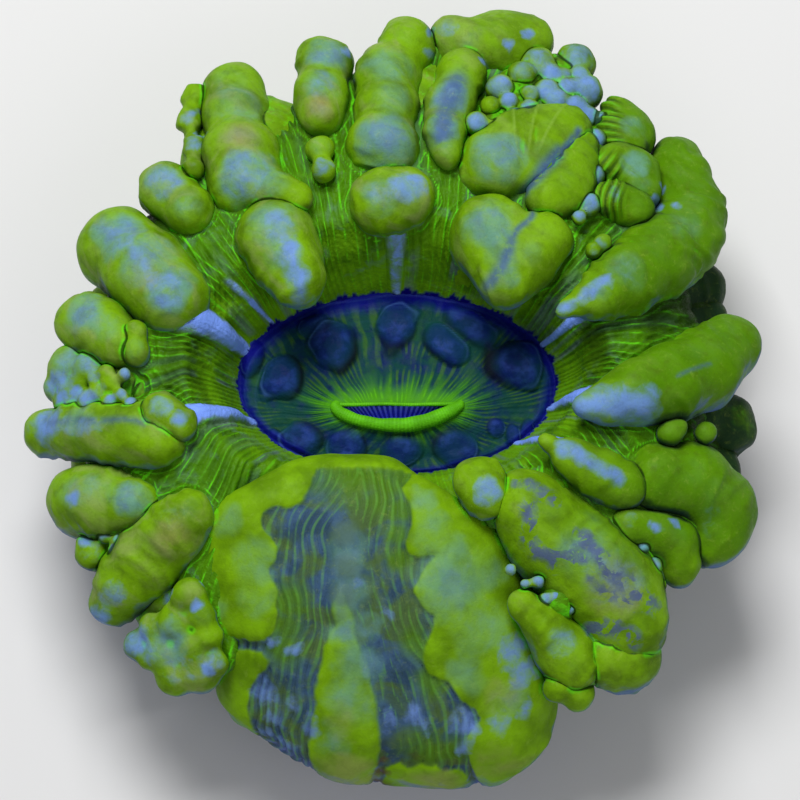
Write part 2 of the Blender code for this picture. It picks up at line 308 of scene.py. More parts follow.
# Each lobe has its waist, which is how thick it stays between its bulges (0 for separate beads),
# and its row of bulges: x, y, radius, and how grey-blue and how violet each is.
LOBES = {
    "north_west": (0.7, [
        (-25, 45, 4.8, 0.2, 0), (-24.5, 40.5, 5, 0.4, 0.1), (-23.5, 33, 5.8, 0.2, 0.1),
        (-22.5, 28, 5.5, 0.9, 0.4), (-18, 26, 3, 0.4, 0), (-15, 24.5, 2.3, 0, 0),
    ]),
    "north_west_flank": (0.6, [
        (-30.5, 44, 2.2, 0.1, 0.1), (-31.5, 39.5, 1.8, 0.1, 0.8), (-30.5, 34.5, 1.7, 0, 0.8),
        (-30.5, 30.5, 1.6, 0, 0.2),
    ]),
    "inner_north_west": (0.9, [(-18, 19, 5.3, 0.5, 0.2), (-16, 14.5, 4.4, 0.3, 0), (-14.5, 11, 3, 0.3, 0)]),
    "north_by_west": (0.8, [
        (-11, 49, 4.1, 0.8, 0.1), (-11.5, 43, 3.9, 0.6, 0.3), (-11.5, 39, 3.2, 0.2, 0.1),
    ]),
    "north_by_west_small": (0, [(-11.5, 32.5, 2.1, 0.2, 0.1), (-11, 29, 1.9, 0.3, 0.5)]),
    "north": (0.68, [
        (1.5, 52.5, 4.4, 0.1, 0), (-1.5, 46.5, 5, 0.4, 0.1), (-1.5, 40.5, 4.7, 0.3, 0),
        (-2, 33.5, 5.6, 1, 0.2),
    ]),
    "north_front": (0.95, [(-2.5, 24, 4, 0.5, 0.3), (1.5, 25, 3.8, 0.3, 0.8)]),
    "north_by_east": (0.75, [
        (10, 47, 3.6, 0.1, 0), (8, 41, 3.6, 1, 0.3), (7, 35.5, 3.1, 1, 0.4), (7.5, 31.5, 2, 0.3, 0.2),
    ]),
    "north_north_east": (0.85, [
        (8, 54.5, 2.4, 0.4, 0.4), (11, 52.5, 3.8, 0.2, 0), (15.5, 53.5, 5.3, 0.1, 0),
        (20, 54.5, 3.8, 0.1, 0),
    ]),
    "pearls": (0, [
        (21.5, 49.3, 2.8, 0, 0.6), (27.2, 50.8, 3.1, 0.1, 0.6), (15.5, 44, 2.2, 0, 0.9),
        (19, 47, 2.2, 0.3, 0.3), (12, 37, 1.8, 0, 1), (15, 36.5, 1.2, 0, 1), (17.5, 38.5, 1.5, 0, 1),
        (20, 40, 1.7, 0, 1), (16.8, 41.3, 1.5, 0, 1), (23.5, 47.3, 1.9, 0, 1), (22.6, 44, 2.1, 0, 1),
        (24, 42, 2.2, 0, 1), (26, 45, 1.8, 0, 1), (27.8, 47.7, 1.7, 0, 0.8), (28.5, 45, 2.8, 0, 1),
        (27, 41, 2.3, 0, 1), (29, 40, 1.8, 0, 1), (20, 43, 1.5, 0, 0.5), (25.3, 47.6, 1.2, 0, 0.6),
        (14, 40.3, 1.5, 0, 0.2),
    ]),
    "shell": (0.93, [
        (15, 30.5, 5.3, 0.8, 0.1), (18.5, 34.5, 4.2, 0, 0), (22.5, 36, 3.7, 0.1, 0),
        (25.5, 36.5, 2.8, 0, 0), (22, 31, 3.7, 0.2, 0.1),
    ]),
    "shell_right": (0.93, [
        (27.5, 34, 2.2, 0, 0), (26.3, 30.3, 3, 0, 0), (24.8, 26.5, 3.5, 0.1, 0), (22, 24.5, 2.2, 0, 0),
    ]),
    "inner_north_east": (0.92, [
        (22, 18, 3.6, 0.1, 0), (19.5, 14.5, 3.4, 0.2, 0), (16, 11, 2.5, 0.4, 0.1),
        (15.5, 14.5, 4.2, 0.3, 0), (14, 19, 5.4, 0.6, 0),
    ]),
    "north_east_upper": (0.9, [
        (33.5, 41.5, 2.3, 0, 0.1), (35.5, 38, 2.9, 0.3, 0.2), (34, 35.5, 2.6, 0, 0.1),
        (32, 38, 1.6, 0, 0.1),
    ]),
    "north_east_lower": (0.9, [
        (36, 27.5, 2.9, 0.2, 0), (35.5, 31, 3.1, 0.6, 0.1), (32.8, 32, 2.2, 0, 0.1),
        (31.3, 30.8, 1.4, 0, 0),
    ]),
    "north_east_foot": (0.85, [(35.5, 24, 2.6, 0.1, 0.1), (32.5, 25.5, 2, 0, 0.4), (30.8, 25, 1.2, 0, 0)]),
    "north_east_beads": (0, [
        (30.5, 39.5, 1.5, 0, 1), (29.6, 35.6, 1.9, 0, 1), (29.6, 32.6, 1.1, 0, 0.8), (29.3, 29, 1.9, 0, 1),
        (28.6, 24, 1.8, 0, 1), (27, 21.5, 1.2, 0, 1), (30.5, 17.5, 1.5, 0.1, 0.3), (29, 16, 1.3, 0, 0.3),
    ]),
    "north_east": (0.97, [
        (42.5, 34.5, 3.3, 0, 0), (43, 30.5, 3.9, 0, 0), (44.5, 26, 4.3, 0.1, 0.1), (43, 21, 4.7, 0.2, 0),
        (38.5, 16.5, 5, 0.1, 0), (33.8, 12.3, 4.3, 0.3, 0.2), (30, 9.3, 2.3, 0.4, 0), (27, 7.6, 0.5, 0, 0),
        (24.4, 6.3, 0.2, 0, 0),
    ]),
    "west_by_north": (0.95, [
        (-41.5, 19.5, 5.4, 0.9, 0.3), (-37, 14.5, 5.6, 0.7, 0.2), (-33.5, 9.5, 5, 0.8, 0.5),
    ]),
    "west_north_west": (0.8, [(-34.5, 28, 4.1, 0.6, 0.5), (-31, 23.5, 3.6, 0.3, 0.2)]),
    "west_upper": (0.9, [(-46, 7.5, 4.3, 0.7, 0.3), (-43, 5, 3.9, 0.3, 0.2), (-41, 2.5, 2.7, 0.1, 0.1)]),
    "west_upper_small": (0, [(-38.5, 4, 1.7, 0.1, 0.1), (-38.5, 1, 2.1, 0.2, 0.1)]),
    "west_middle": (0, [
        (-48.5, 0.5, 3.7, 0.5, 0.3), (-45.5, 0, 2.4, 0, 0.7), (-50.5, -2, 2.2, 0, 0.9),
        (-45.5, -5.5, 1.9, 0, 1), (-44, -4.5, 1.5, 0, 0.4), (-49.5, -4, 1.1, 0, 1), (-47.5, -4, 1.2, 0, 1),
        (-48, -5.5, 1.2, 0, 1), (-47, -2.3, 1.6, 0.1, 0.1), (-48.7, -2.9, 1.8, 0, 0.3),
        (-49.7, -4.6, 1.4, 0, 0.9), (-44.5, -2.3, 1.2, 0, 0.5), (-42.3, -6.3, 1.2, 0, 1),
        (-40, -2.5, 1.1, 0, 0.8), (-40.5, -5.5, 1.1, 0, 1), (-39, -7, 1.1, 0, 1), (-42, -3.5, 1.4, 0, 0.1),
        (-42.8, -1.8, 1.4, 0, 0.1),
    ]),
    "west": (0.85, [
        (-51.7, -8, 3.5, 0.4, 0.95), (-47, -9, 4, 0.3, 0.1), (-42, -10, 4.3, 0.1, 0),
        (-38, -11, 4, 0.1, 0.1), (-34.5, -13, 2.9, 0, 0),
    ]),
    "west_inner": (0.9, [(-34.5, -8.5, 2.6, 0.3, 0.6), (-31.5, -10.5, 1.9, 0.2, 1)]),
    "west_by_south": (0.9, [
        (-46.5, -19, 4.9, 0.3, 0.2), (-43, -20, 4.8, 0.2, 0.1), (-39, -21, 3.5, 0.7, 0),
    ]),
    "west_by_south_small": (0, [
        (-45, -27, 2.5, 0, 0.3), (-46, -25.5, 1.4, 0, 1), (-43, -25, 1.2, 0, 1), (-41.5, -27.5, 1.1, 0, 1),
        (-41, -26, 0.9, 0, 1),
    ]),
    "south_west_upper": (0.85, [
        (-42, -34, 3, 0.1, 0.6), (-39.5, -31, 4.5, 0, 0.1), (-36, -28, 5, 0.1, 0.1),
        (-32.5, -25, 4.5, 0.1, 0.2), (-30, -23, 3, 0.2, 0.1),
    ]),
    "south_west": (0, [
        (-30.3, -34.5, 2.8, 0, 0.1), (-28.5, -37.5, 2.2, 0.2, 0.1), (-32, -38, 3.2, 0.1, 0.2),
        (-27.5, -40.5, 2.2, 0, 0.1), (-33.5, -41.5, 3.6, 0.6, 0.2), (-29.5, -41.5, 3.4, 0.1, 0.1),
        (-32.5, -45, 3, 0, 0.3), (-28.8, -45, 3, 0.1, 0.3), (-26.5, -44, 2, 0, 0.5),
        (-36, -38.5, 2.2, 0, 0.2), (-38, -40.5, 2.3, 0, 0.9), (-36.5, -42.5, 1.8, 0, 0.5),
    ]),
    "inner_south_east": (0.9, [(12, -19, 3.2, 0.1, 0.1), (13, -21.5, 2.8, 0.1, 0.9)]),
    "south_east": (0.92, [
        (33, -37.5, 6.2, 0.1, 0), (31.5, -33, 7, 0.3, 0.3), (27, -29, 7, 0.3, 0.2),
        (22, -25.5, 6, 0.1, 0.1), (19, -22, 4.7, 0, 0.1),
    ]),
    "south_east_tip": (0.9, [(33.5, -42, 4.8, 0, 0), (30, -43, 3, 0, 0)]),
    "south_by_east": (0.85, [
        (26, -44.5, 3.4, 0.1, 0.1), (24, -42, 3.7, 0.2, 0.4), (21.5, -39, 2.7, 0, 0),
        (18.5, -36.5, 1.8, 0, 0),
    ]),
    "south_by_east_low": (0, [(26.5, -48, 2.5, 0, 0.1), (23.5, -47.5, 2.3, 0, 0.1)]),
    "south_by_east_beads": (0, [
        (20.5, -33.5, 1, 0, 1), (21.5, -36, 1.1, 0, 1), (23, -35.5, 0.9, 0, 1), (25, -37, 1, 0, 1),
        (16.5, -32, 0.9, 0, 1), (18.5, -34, 0.8, 0, 1),
    ]),
    "east_south_east_low": (0.8, [
        (41.5, -29, 2.9, 0, 0.1), (41, -26, 3, 0.1, 0.1), (38, -25, 2.9, 0, 0.2), (34, -24.5, 2.2, 0, 0.3),
    ]),
    "east_south_east_beads": (0, [
        (38.5, -32.5, 1.2, 0, 0.3), (37.5, -30, 1.4, 0, 0.9), (36, -27.5, 1.1, 0, 0.9),
    ]),
    "east_south_east": (0.92, [
        (46.5, -23.5, 4.5, 0.1, 0.2), (47, -20, 5.5, 0.1, 0.1), (43.5, -17, 5.2, 0.1, 0),
        (38, -17, 4.3, 0, 0),
    ]),
    "inner_east_south_east": (0.92, [
        (33, -19, 3, 0, 0), (29, -17.5, 2.9, 0.1, 0), (25.5, -15.7, 1.8, 0.1, 0), (21.5, -13.5, 0.5, 0, 0),
    ]),
    "east": (0.95, [
        (49.5, 4.5, 4.1, 0.1, 0), (45.5, 0.5, 5, 0.1, 0), (40, -3, 4.9, 0, 0), (35, -5.5, 3.6, 0.1, 0),
        (30.5, -7.3, 2, 0, 0), (27, -8.2, 0.6, 0, 0.4),
    ]),
    "east_low_small": (0, [(40, -11, 1.9, 0, 0), (41.5, -10, 1.3, 0, 0.2), (45.5, -10, 1.7, 0, 0.2)]),
}
# Bulges that hang lower than the lobes over them: x, y, height, radius.
HANGING_BULGES = [
    (49.5, -5, 18, 4.6), (47.5, -12, 17, 4.4), (45, 16.5, 18, 4.8), (46, 11.5, 17, 4.4),
    (19.5, 45, 25, 5.2), (24.5, 47, 22.8, 5.4), (24.5, 42, 25.4, 5.0), (17, 40, 28.8, 4.2),
    (-44.5, -3, 28.1, 4.4), (-41.2, -4.5, 29.4, 3.0),
]
# Blue along the creases of the lobes: x and y of both ends, half width, strength.
BLUE_STREAKS = [
    (27, 36, 24, 31.5, 0.5, 1), (24, 31.5, 19, 25.5, 1.0, 1), (20, 21.5, 17, 16.5, 0.5, 0.9),
    (17, 16.5, 15.5, 12, 0.8, 0.9), (15.5, 12, 13.5, 10, 0.9, 0.9), (-52, -7.5, -45, -9.5, 0.7, 0.6),
    (-45, -9.5, -37, -10.5, 0.5, 0.7), (9, 44, 6.5, 34, 1.5, 0.9), (41, -3.5, 46, -1, 0.3, 0.6),
]
# The same on the south-east lobe, where the blue is torn into flakes.
TORN_STREAKS = [
    (19, -24, 19.5, -29, 0.9, 0.9), (19.5, -29, 22.5, -31, 0.9, 0.9), (22.5, -31, 26.5, -30.5, 1.0, 0.9),
    (27, -28, 30.5, -32, 1.1, 0.9), (30.5, -32, 36.5, -36, 1.2, 0.9), (28, -34, 34, -37, 0.6, 0.7),
    (28.5, -39.5, 34.5, -41, 1.0, 0.8), (18, -20, 23, -23, 0.8, 0.6),
]
# Bars of bright violet down the middle of some lobes, the same way.
VIOLET_BARS = [
    (24, 6.2, 31, 10.3, 0.7, 1), (26.5, -8.5, 36, -8, 1.8, 1.15), (-17.5, 19.5, -16, 14.5, 1.6, 0.8),
    (-16, 14.5, -14, 9, 1.2, 1), (-15.5, 16, -14, 9, 0.6, 1.2), (24, -14.8, 32, -19, 0.9, 1),
    (-54, -8, -44, -10.5, 1.0, 0.5), (-42, 20, -35, 10, 0.9, 0.5),
]
# Blue on the small bumps of the lobes: x, y, radius, strength.
BLUE_SPOTS = [
    (12.8, -21.5, 1.0, 0.9), (39, 25.5, 0.8, 0.9), (41.5, 25, 0.8, 0.9), (40, 28.5, 0.7, 0.9),
    (37.5, -25, 0.9, 0.9), (40.5, -24, 0.9, 0.9), (-33.5, -34.5, 0.9, 1), (-29, -36.5, 0.9, 1),
    (-28, -33, 0.8, 0.9), (-27.5, -45, 1.1, 1), (-37.5, -41, 1.4, 1), (-44, -37, 2.0, 0.8),
    (-47.5, -20, 1.2, 0.9), (-31, 40.5, 0.9, 1), (-29.5, 36.5, 0.9, 1), (-7.5, 50, 1.0, 0.9),
    (-7, 46, 0.9, 0.8), (5, 54, 1.0, 0.9), (5, 50.5, 0.9, 0.9), (20, 54, 1.0, 0.9), (17, 51.5, 0.9, 0.9),
    (13, 48.5, 1.0, 0.9),
]
# Warm, brownish blushes on the lobes: x, y, radius, strength.
WARM_CLOUDS = [
    (-23.5, 33.5, 3.5, 0.8), (-11.5, 39.5, 2.5, 0.9), (31.5, -34.5, 4.5, 0.8), (-37, 12, 3.5, 0.5),
    (-33, -27, 4, 0.4),
]
# The ribs of the shell-shaped lobe fan out from its hinge, at these bearings.
SHELL_HINGE = (19.5, 25.5)
SHELL_RIBS = (103, 88, 74)
# Wrinkles run across the lobes: their spacing and height, and on the ribbed lobes also how
# finely the skin is drawn.
WRINKLE = (2.6, 0.18)
RIBBED = {
    "lobe_north_east_upper": (1.3, 0.3, 0.3),
    "lobe_north_east_lower": (1.2, 0.3, 0.3),
    "lobe_north_east_foot": (1.1, 0.25, 0.3),
    "lobe_north_east": (3.4, 0.28, 0.4),
}
# How finely the skins are drawn: those of the lobes, and those of the bulges that hang under them.
SKIN_STEP = 0.46
HANGING_STEP = 0.62
# How far the beads of these lobes melt into each other.
BEAD_MELT = {"lobe_pearls": 0.35, "lobe_north_east_beads": 0.3, "lobe_west_middle": 0.6}


def reach_along(half, bearing):
    """Distance from the centre to an ellipse with these half sizes, along a bearing in radians."""
    return half[0] * half[1] / np.hypot(half[0] * np.sin(bearing), half[1] * np.cos(bearing))


def flesh_top(bearing, reach, furthest=None):
    """Height of the top of the flesh: level inside the crest, and falling outside it as far as
    furthest, where 1 is the edge of the lobes."""
    crest, edge = reach_along(CREST_HALF, bearing), reach_along(EDGE_HALF, bearing)
    out = np.clip((reach - crest) / (edge - crest), 0, furthest)
    return CREST_HEIGHT - EDGE_DROP * out**1.8


def depth_below_top(points):
    """How far points lie below the top of the flesh, in millimetres."""
    bearings, reaches = np.arctan2(points[..., 1], points[..., 0]), np.hypot(points[..., 0], points[..., 1])
    return flesh_top(bearings, reaches, 1) - points[..., 2]


def blended(one, other, soft):
    """The nearer of two distances, rounded where they are within soft of each other."""
    near = np.clip(soft - np.abs(one - other), 0, None) / soft
    return np.minimum(one, other) - near * near * soft / 4


class Lobe:
    """Flesh round a row of bulges, as a distance that is below zero inside it."""

    def __init__(self, name, bulges, waist, deep=0.6):
        self.name, self.waist, self.deep = name, waist, deep
        self.soft = BEAD_MELT.get(name, np.interp(waist, [0, 0.6, 0.97], [0.9, 1.2, 3.0]))
        self.bulges = bulges
        self.centres = np.array([bulge[:3] for bulge in bulges])
        self.radii = np.array([bulge[3] for bulge in bulges])
        self.size = np.clip(self.radii.mean() / 5, 0.25, 1.2)
        # The box that all of the lobe's flesh lies in.
        self.low = (self.centres - self.radii[:, None] * [1.25, 1.25, 2.0]).min(axis=0) - 1.5
        self.high = (self.centres + self.radii[:, None] * 1.25).max(axis=0) + 1.5

    def near(self, points):
        """Which points lie in the lobe's box or within 4 mm of it."""
        return ((points > self.low - 4) & (points < self.high + 4)).all(axis=-1)

    def distance(self, points):
        """Signed distance in millimetres. Flesh reaches further down from a bulge than up."""
        total = None
        for k, (centre, radius) in enumerate(zip(self.centres, self.radii)):
            parts = [(centre, centre, radius, radius)]
            if k and self.waist:
                waists = self.radii[k - 1 : k + 1] * self.waist
                parts.append((self.centres[k - 1], centre, *waists))
            for start, end, start_radius, end_radius in parts:
                axis = end - start
                share = np.clip((points - start) @ axis / max(axis @ axis, 1e-9), 0, 1)
                away = points - start - share[..., None] * axis
                away[..., 2] = np.where(away[..., 2] < 0, away[..., 2] * self.deep, away[..., 2])
                part = np.linalg.norm(away, axis=-1) - (start_radius + share * (end_radius - start_radius))
                total = part if total is None else blended(total, part, self.soft)
        return total


def skin_over(distance, low, high, step):
    """The surface where distance is zero inside a box, as points and quads. Each cell of a grid
    that the surface runs through gets one point, at the mean of its crossings."""
    axes = [np.arange(start, end + step, step) for start, end in zip(low, high)]
    values = distance(np.stack(np.meshgrid(*axes, indexing="ij"), axis=-1))
    quads, crossings = [], []
    for axis in range(3):
        before = values.take(np.arange(values.shape[axis] - 1), axis=axis)
        after = values.take(np.arange(1, values.shape[axis]), axis=axis)
        edges = np.argwhere((before < 0) != (after < 0))
        start, end = before[tuple(edges.T)], after[tuple(edges.T)]
        place = edges.astype(float)
        place[:, axis] += start / (start - end)
        side, other = np.eye(3, dtype=int)[[(axis + 1) % 3, (axis + 2) % 3]]
        around = np.stack([edges, edges - side, edges - side - other, edges - other], axis=1)
        around[start > 0] = around[start > 0, ::-1]
        quads.append(np.ravel_multi_index(around.reshape(-1, 3).T, values.shape).reshape(-1, 4))
        crossings.append(np.repeat(place, 4, axis=0))
    _, index = np.unique(np.concatenate(quads), return_inverse=True)
    index = index.reshape(-1)
    crossings = np.concatenate(crossings)
    points = np.stack([np.bincount(index, crossings[:, k]) for k in range(3)], axis=1)
    return np.asarray(low) + step * points / np.bincount(index)[:, None], index.reshape(-1, 4)


def gathered(corners, values, count):
    """The sum at each point of the values that belong to it."""
    return np.stack([np.bincount(corners, values[:, k], count) for k in range(3)], axis=1)


def relaxed(points, quads, times):
    """Each point moved halfway to the mean of its neighbours, again and again."""
    ends = np.concatenate([quads[:, [0, 1]], quads[:, [1, 2]], quads[:, [2, 3]], quads[:, [3, 0]]])
    count = np.bincount(ends[:, 0], minlength=len(points))[:, None]
    for _ in range(times):
        points = 0.5 * points + 0.5 * gathered(ends[:, 0], points[ends[:, 1]], len(points)) / count
    return points


def skin_normals(points, quads):
    """Outward normals of a skin, from the faces round each point."""
    across = points[quads[:, 2]] - points[quads[:, 0]]
    along = points[quads[:, 3]] - points[quads[:, 1]]
    total = gathered(quads.ravel(), np.repeat(np.cross(across, along), 4, axis=0), len(points))
    return total / np.maximum(np.linalg.norm(total, axis=1, keepdims=True), 1e-9)


def nearest_flesh(points, lobes):
    """Distance from each point to the nearest of the lobes, as far as GAP_REACH."""
    gap = np.full(points.shape[:-1], GAP_REACH)
    for lobe in lobes:
        near = lobe.near(points)
        if near.any():
            gap[near] = np.minimum(gap[near], lobe.distance(points[near]))
    return gap


def drifted(x, y, points, amount, size, seeds):
    """The places x and y, moved unevenly by up to amount millimetres."""
    return tuple(place + amount * lumps(points, size, seed) for place, seed in zip((x, y), seeds))


def patches(x, y, places, soft=1.2):
    """How far each point is inside the round patches, from 0 to each patch's strength."""
    total = np.zeros_like(x)
    for patch_x, patch_y, radius, strength in places:
        apart = np.hypot(x - patch_x, y - patch_y) / radius
        total = np.maximum(total, strength * np.clip(soft * (1.3 - apart), 0, 1))
    return total


def apart_from_line(x, y, start_x, start_y, end_x, end_y):
    """Distance from each point to the straight line between two places."""
    run_x, run_y = end_x - start_x, end_y - start_y
    share = np.clip(((x - start_x) * run_x + (y - start_y) * run_y) / (run_x**2 + run_y**2), 0, 1)
    return np.hypot(x - start_x - share * run_x, y - start_y - share * run_y)


def streaks(x, y, lines):
    """How near each point is to the streaks, from 0 to each streak's strength."""
    total = np.zeros_like(x)
    for *ends, half_width, strength in lines:
        apart = apart_from_line(x, y, *ends) / half_width
        total = np.maximum(total, strength * np.exp(-0.6 * apart**2))
    return total


def shell_ribs(points):
    """How near each point is to a rib of the shell-shaped lobe, from 0 to 1."""
    across, along = points[:, 0] - SHELL_HINGE[0], points[:, 1] - SHELL_HINGE[1]
    reach = np.hypot(across, along)
    total = np.zeros(len(points))
    for degrees in SHELL_RIBS:
        lean = np.arctan2(along, across) - math.radians(degrees) + 0.012 * (reach - 8)
        total = np.maximum(total, np.clip(1 - np.abs(lean) * reach / 0.55, 0, 1))
    return total * np.clip((reach - 4.5) / 3, 0, 1)


def lobe_shape(lobe, seed, step):
    """The skin of a lobe with its lumps and wrinkles: points, quads, and how it is puckered."""
    spacing, height, step = RIBBED.get(lobe.name, WRINKLE + (step,))
    points, quads = skin_over(lobe.distance, lobe.low, lobe.high, step)
    points = relaxed(points, quads, 2)
    uneven = 0.55 * lumps(points, 6.5 * lobe.size, seed) + 0.25 * lumps(points, 3.0 * lobe.size, seed + 1)
    if lobe.name == "lobe_shell":
        uneven += 0.35 * shell_ribs(points)
    pucker = np.full(len(points), 0.5)
    if lobe.waist:
        run = lobe.centres[-1, :2] - lobe.centres[0, :2]
        along = points[:, :2] @ run / np.hypot(*run)
        wrinkle = np.sin(2 * math.pi * (along / spacing + 0.8 * lumps(points, 5.0, seed + 7)))
        here = np.clip((0.7 if lobe.name in RIBBED else 0.3) + 1.6 * lumps(points, 4.5, seed + 8), 0, 1)
        if spacing < 2:
            here *= np.clip((35 - points[:, 0]) / 2.5, 0, 1)
            pucker = 0.5 + 0.5 * wrinkle * here
        uneven += height / lobe.size * np.clip(wrinkle, -0.3, 1) * here
    return points + skin_normals(points, quads) * (lobe.size * uneven)[:, None], quads, pucker


def bulge_colours(lobe, x, y):
    """How grey-blue and how violet each point is, from the bulges of its lobe."""
    teal, violet = np.zeros_like(x), np.zeros_like(x)
    for bulge_x, bulge_y, _, radius, bulge_teal, bulge_violet in lobe.bulges:
        apart = np.hypot(x - bulge_x, y - bulge_y) / radius
        inside = np.clip((1.2 if lobe.waist else 1.45) - 1.4 * apart**1.5, 0, 1)
        teal = np.maximum(teal, bulge_teal * inside)
        violet = np.maximum(violet, bulge_violet * inside)
    return teal, violet


def lobe_skin_piece(lobe, others, seed, step):
    """The skin of a lobe, with the marks that its colours follow."""
    points, quads, pucker = lobe_shape(lobe, seed, step)
    outward = skin_normals(points, quads)
    hollow = np.einsum("ij,ij->i", relaxed(points, quads, 12) - points, outward)
    x, y = points[:, 0], points[:, 1]
    cloudy = drifted(x, y, points, 0.9 * lobe.size, 3.2 * lobe.size, (seed + 3, seed + 4))
    teal, violet = bulge_colours(lobe, *cloudy)
    quick = drifted(x, y, points, 0.6, 1.5, (seed + 5, seed + 6))
    slow = drifted(x, y, points, 0.5, 3.5, (seed + 5, seed + 6))
    violet = np.maximum(violet, patches(*quick, BLUE_SPOTS))
    violet = np.maximum(violet, streaks(*quick, VIOLET_BARS))
    nearness = nearest_flesh(points, others)
    # Painted shade: the skin is marked darker where it faces down close to another lobe, and on the hanging
    # bulges also where they lie deep below the top.
    crevice_shade = np.clip(1 - nearness / 2.2, 0, 1) * np.clip(1.1 - 1.3 * outward[:, 2], 0, 1)
    depth = depth_below_top(points)
    if lobe.name.startswith("hanging"):
        crevice_shade = np.maximum(0.9 * np.clip(1 - nearness / 1.6, 0, 1), np.clip((depth - 4) / 4, 0, 1))
    marks = {
        "crevice_shade": crevice_shade,
        "streak": streaks(*slow, BLUE_STREAKS),
        "torn": streaks(*quick, TORN_STREAKS),
        "rib": shell_ribs(points) if lobe.name == "lobe_shell" else 0 * teal,
        "pucker": pucker,
        "hollow": np.clip(0.5 + hollow / 0.5, 0, 1),
        "side": np.clip((depth - 1.2) / 2.5, 0, 1) * np.clip((11 - depth) / 4, 0, 1),
        "gap": nearness / GAP_REACH,
        "teal": teal,
        "violet": violet,
        # Painted shade: under marks the flesh that faces down, most towards the south.
        "under": np.clip((0.5 - outward[:, 2]) / 0.9, 0, 1) * np.clip((34 - y) / 30, 0.2, 1),
        "warm": patches(x, y, WARM_CLOUDS, 0.8),
        "hazy": np.clip((26 - x) / 20, 0.15, 1),
        # east: how far a point lies on the east side, where painted shade darkens the lobes
        "east": np.clip((x - 22) / 16, 0, 1) * np.clip((y + 34) / 8, 0, 1),
    }
    return piece_from_faces(lobe.name, points, quads, marks)


def mottle(paint, dark, dark_strength, pale, pale_strength):
    """The fine dark and pale grain of the lobes' skin."""
    grain = paint.noise(1.6, detail=8.0, roughness=0.72, warp=0.8, low=0.48, high=0.66)
    paint.coat_of(dark, grain, dark_strength)
    grain = paint.noise(1.1, detail=8.0, roughness=0.75, warp=0.5, low=0.52, high=0.72)
    paint.coat_of(pale, grain, pale_strength)


def bulge_at(x, y, radius, teal, violet):
    """A bulge sunk into the top of the flesh."""
    height = flesh_top(math.atan2(y, x), math.hypot(x, y)) - SINK * radius
    return (x, y, height, radius * PLUMPNESS, teal, violet)


lobes = []
for name, (waist, row) in LOBES.items():
    lobes.append(Lobe("lobe_" + name, [bulge_at(*bulge) for bulge in row], waist))
for number, (x, y, height, radius) in enumerate(HANGING_BULGES):
    row = [(x, y, height, radius, 0, 0), (0.9 * x, 0.9 * y, height + 3, radius, 0, 0)]
    lobes.append(Lobe(f"hanging_lobe_{number}", row, 0.8))

LIME = (116, 164, 12)
NEON = (96, 216, 24)
# The dark green below is painted shade, for creases and grooves.
SHADE_GREEN = (24, 52, 4)
SLATE = (92, 122, 160)
LAVENDER = (106, 142, 212)

paint = Paint("lobe_skin", roughness=0.52)
paint.coat_of(OLIVE)
paint.coat_of(LIME, paint.noise(5.0, low=0.3, high=0.62, long=2.5))
# Painted shade: the lobes on the east side are painted a darker green, where the light falls off.
paint.coat_of((70, 122, 4), paint.mark("east"), 0.75)
paint.coat_of((72, 100, 10), paint.noise(2.5, detail=5.0, low=0.5, high=0.75), 0.5)
haze = paint.both(paint.noise(4.0, warp=0.8, low=0.45, high=0.75, long=2.0), paint.mark("hazy"))
paint.coat_of((138, 154, 88), haze, 0.6)
paint.coat_of((158, 132, 96), paint.patch("warm", 4.0, 0.1, 1.3), 0.55)
streaky = paint.noise(3.0, detail=5.0, warp=0.5, low=0.2, high=0.55, long=2.5)
paint.coat_of(TEAL, paint.both(paint.patch("teal", 4.0, 0.05, 1.3), streaky), 0.85)
paint.coat_of(SLATE, paint.both(paint.patch("teal", 2.5, 0.6, 1.5), streaky), 0.75)
paint.coat_of(LAVENDER, paint.patch("violet", 2.0, 0.3, 1.5), 0.88)
sides = paint.both(paint.mark("side"), paint.noise(4.0, low=0.3, high=0.6))
paint.coat_of((108, 168, 14), sides, 0.45)
# Painted shade: blue-violet on the flesh that faces down.
paint.coat_of((78, 100, 184), paint.patch("under", 4.0, 0.4, 1.2), 0.8)
upright = paint.noise(1.0, detail=3.0, warp=0.4, low=0.54, high=0.66, tall=5.0)
thread = paint.both(paint.mark("side"), upright)
paint.coat_of((104, 200, 24), thread, 0.45)
paint.coat_of((126, 164, 60), paint.mark("rib", 0.3, 1.0), 0.6)
paint.coat_of(NEON, paint.mark("hollow", 0.62, 0.9), 0.5)
# Painted shade: dark green at the bottom of the deepest hollows, inside the neon.
paint.coat_of((20, 44, 16), paint.mark("hollow", 0.84, 1.0), 0.7)
# Painted shade: darker green in the troughs of the wrinkles.
paint.coat_of((30, 58, 10), paint.without(paint.mark("pucker", 0.05, 0.5)), 0.7)
paint.coat_of((100, 190, 30), paint.mark("pucker", 0.6, 1.0), 0.6)
# Painted shade: dark green in the crevices between the lobes.
paint.coat_of((24, 52, 14), paint.patch("crevice_shade", 3.0, 0.2, 1.3), 0.7)
# Painted shade: grey-green in the crevices of the east lobes.
east_crevice_shade = paint.both(paint.patch("crevice_shade", 3.0, 0.1, 1.1), paint.mark("east"))
paint.coat_of((20, 42, 40), east_crevice_shade, 0.7)
seam = paint.without(paint.mark("gap", 0.04, 0.11))
seam = paint.both(seam, paint.without(paint.mark("east")))
paint.coat_of(NEON, paint.both(seam, paint.noise(2.5, low=0.42, high=0.62)), 0.65)
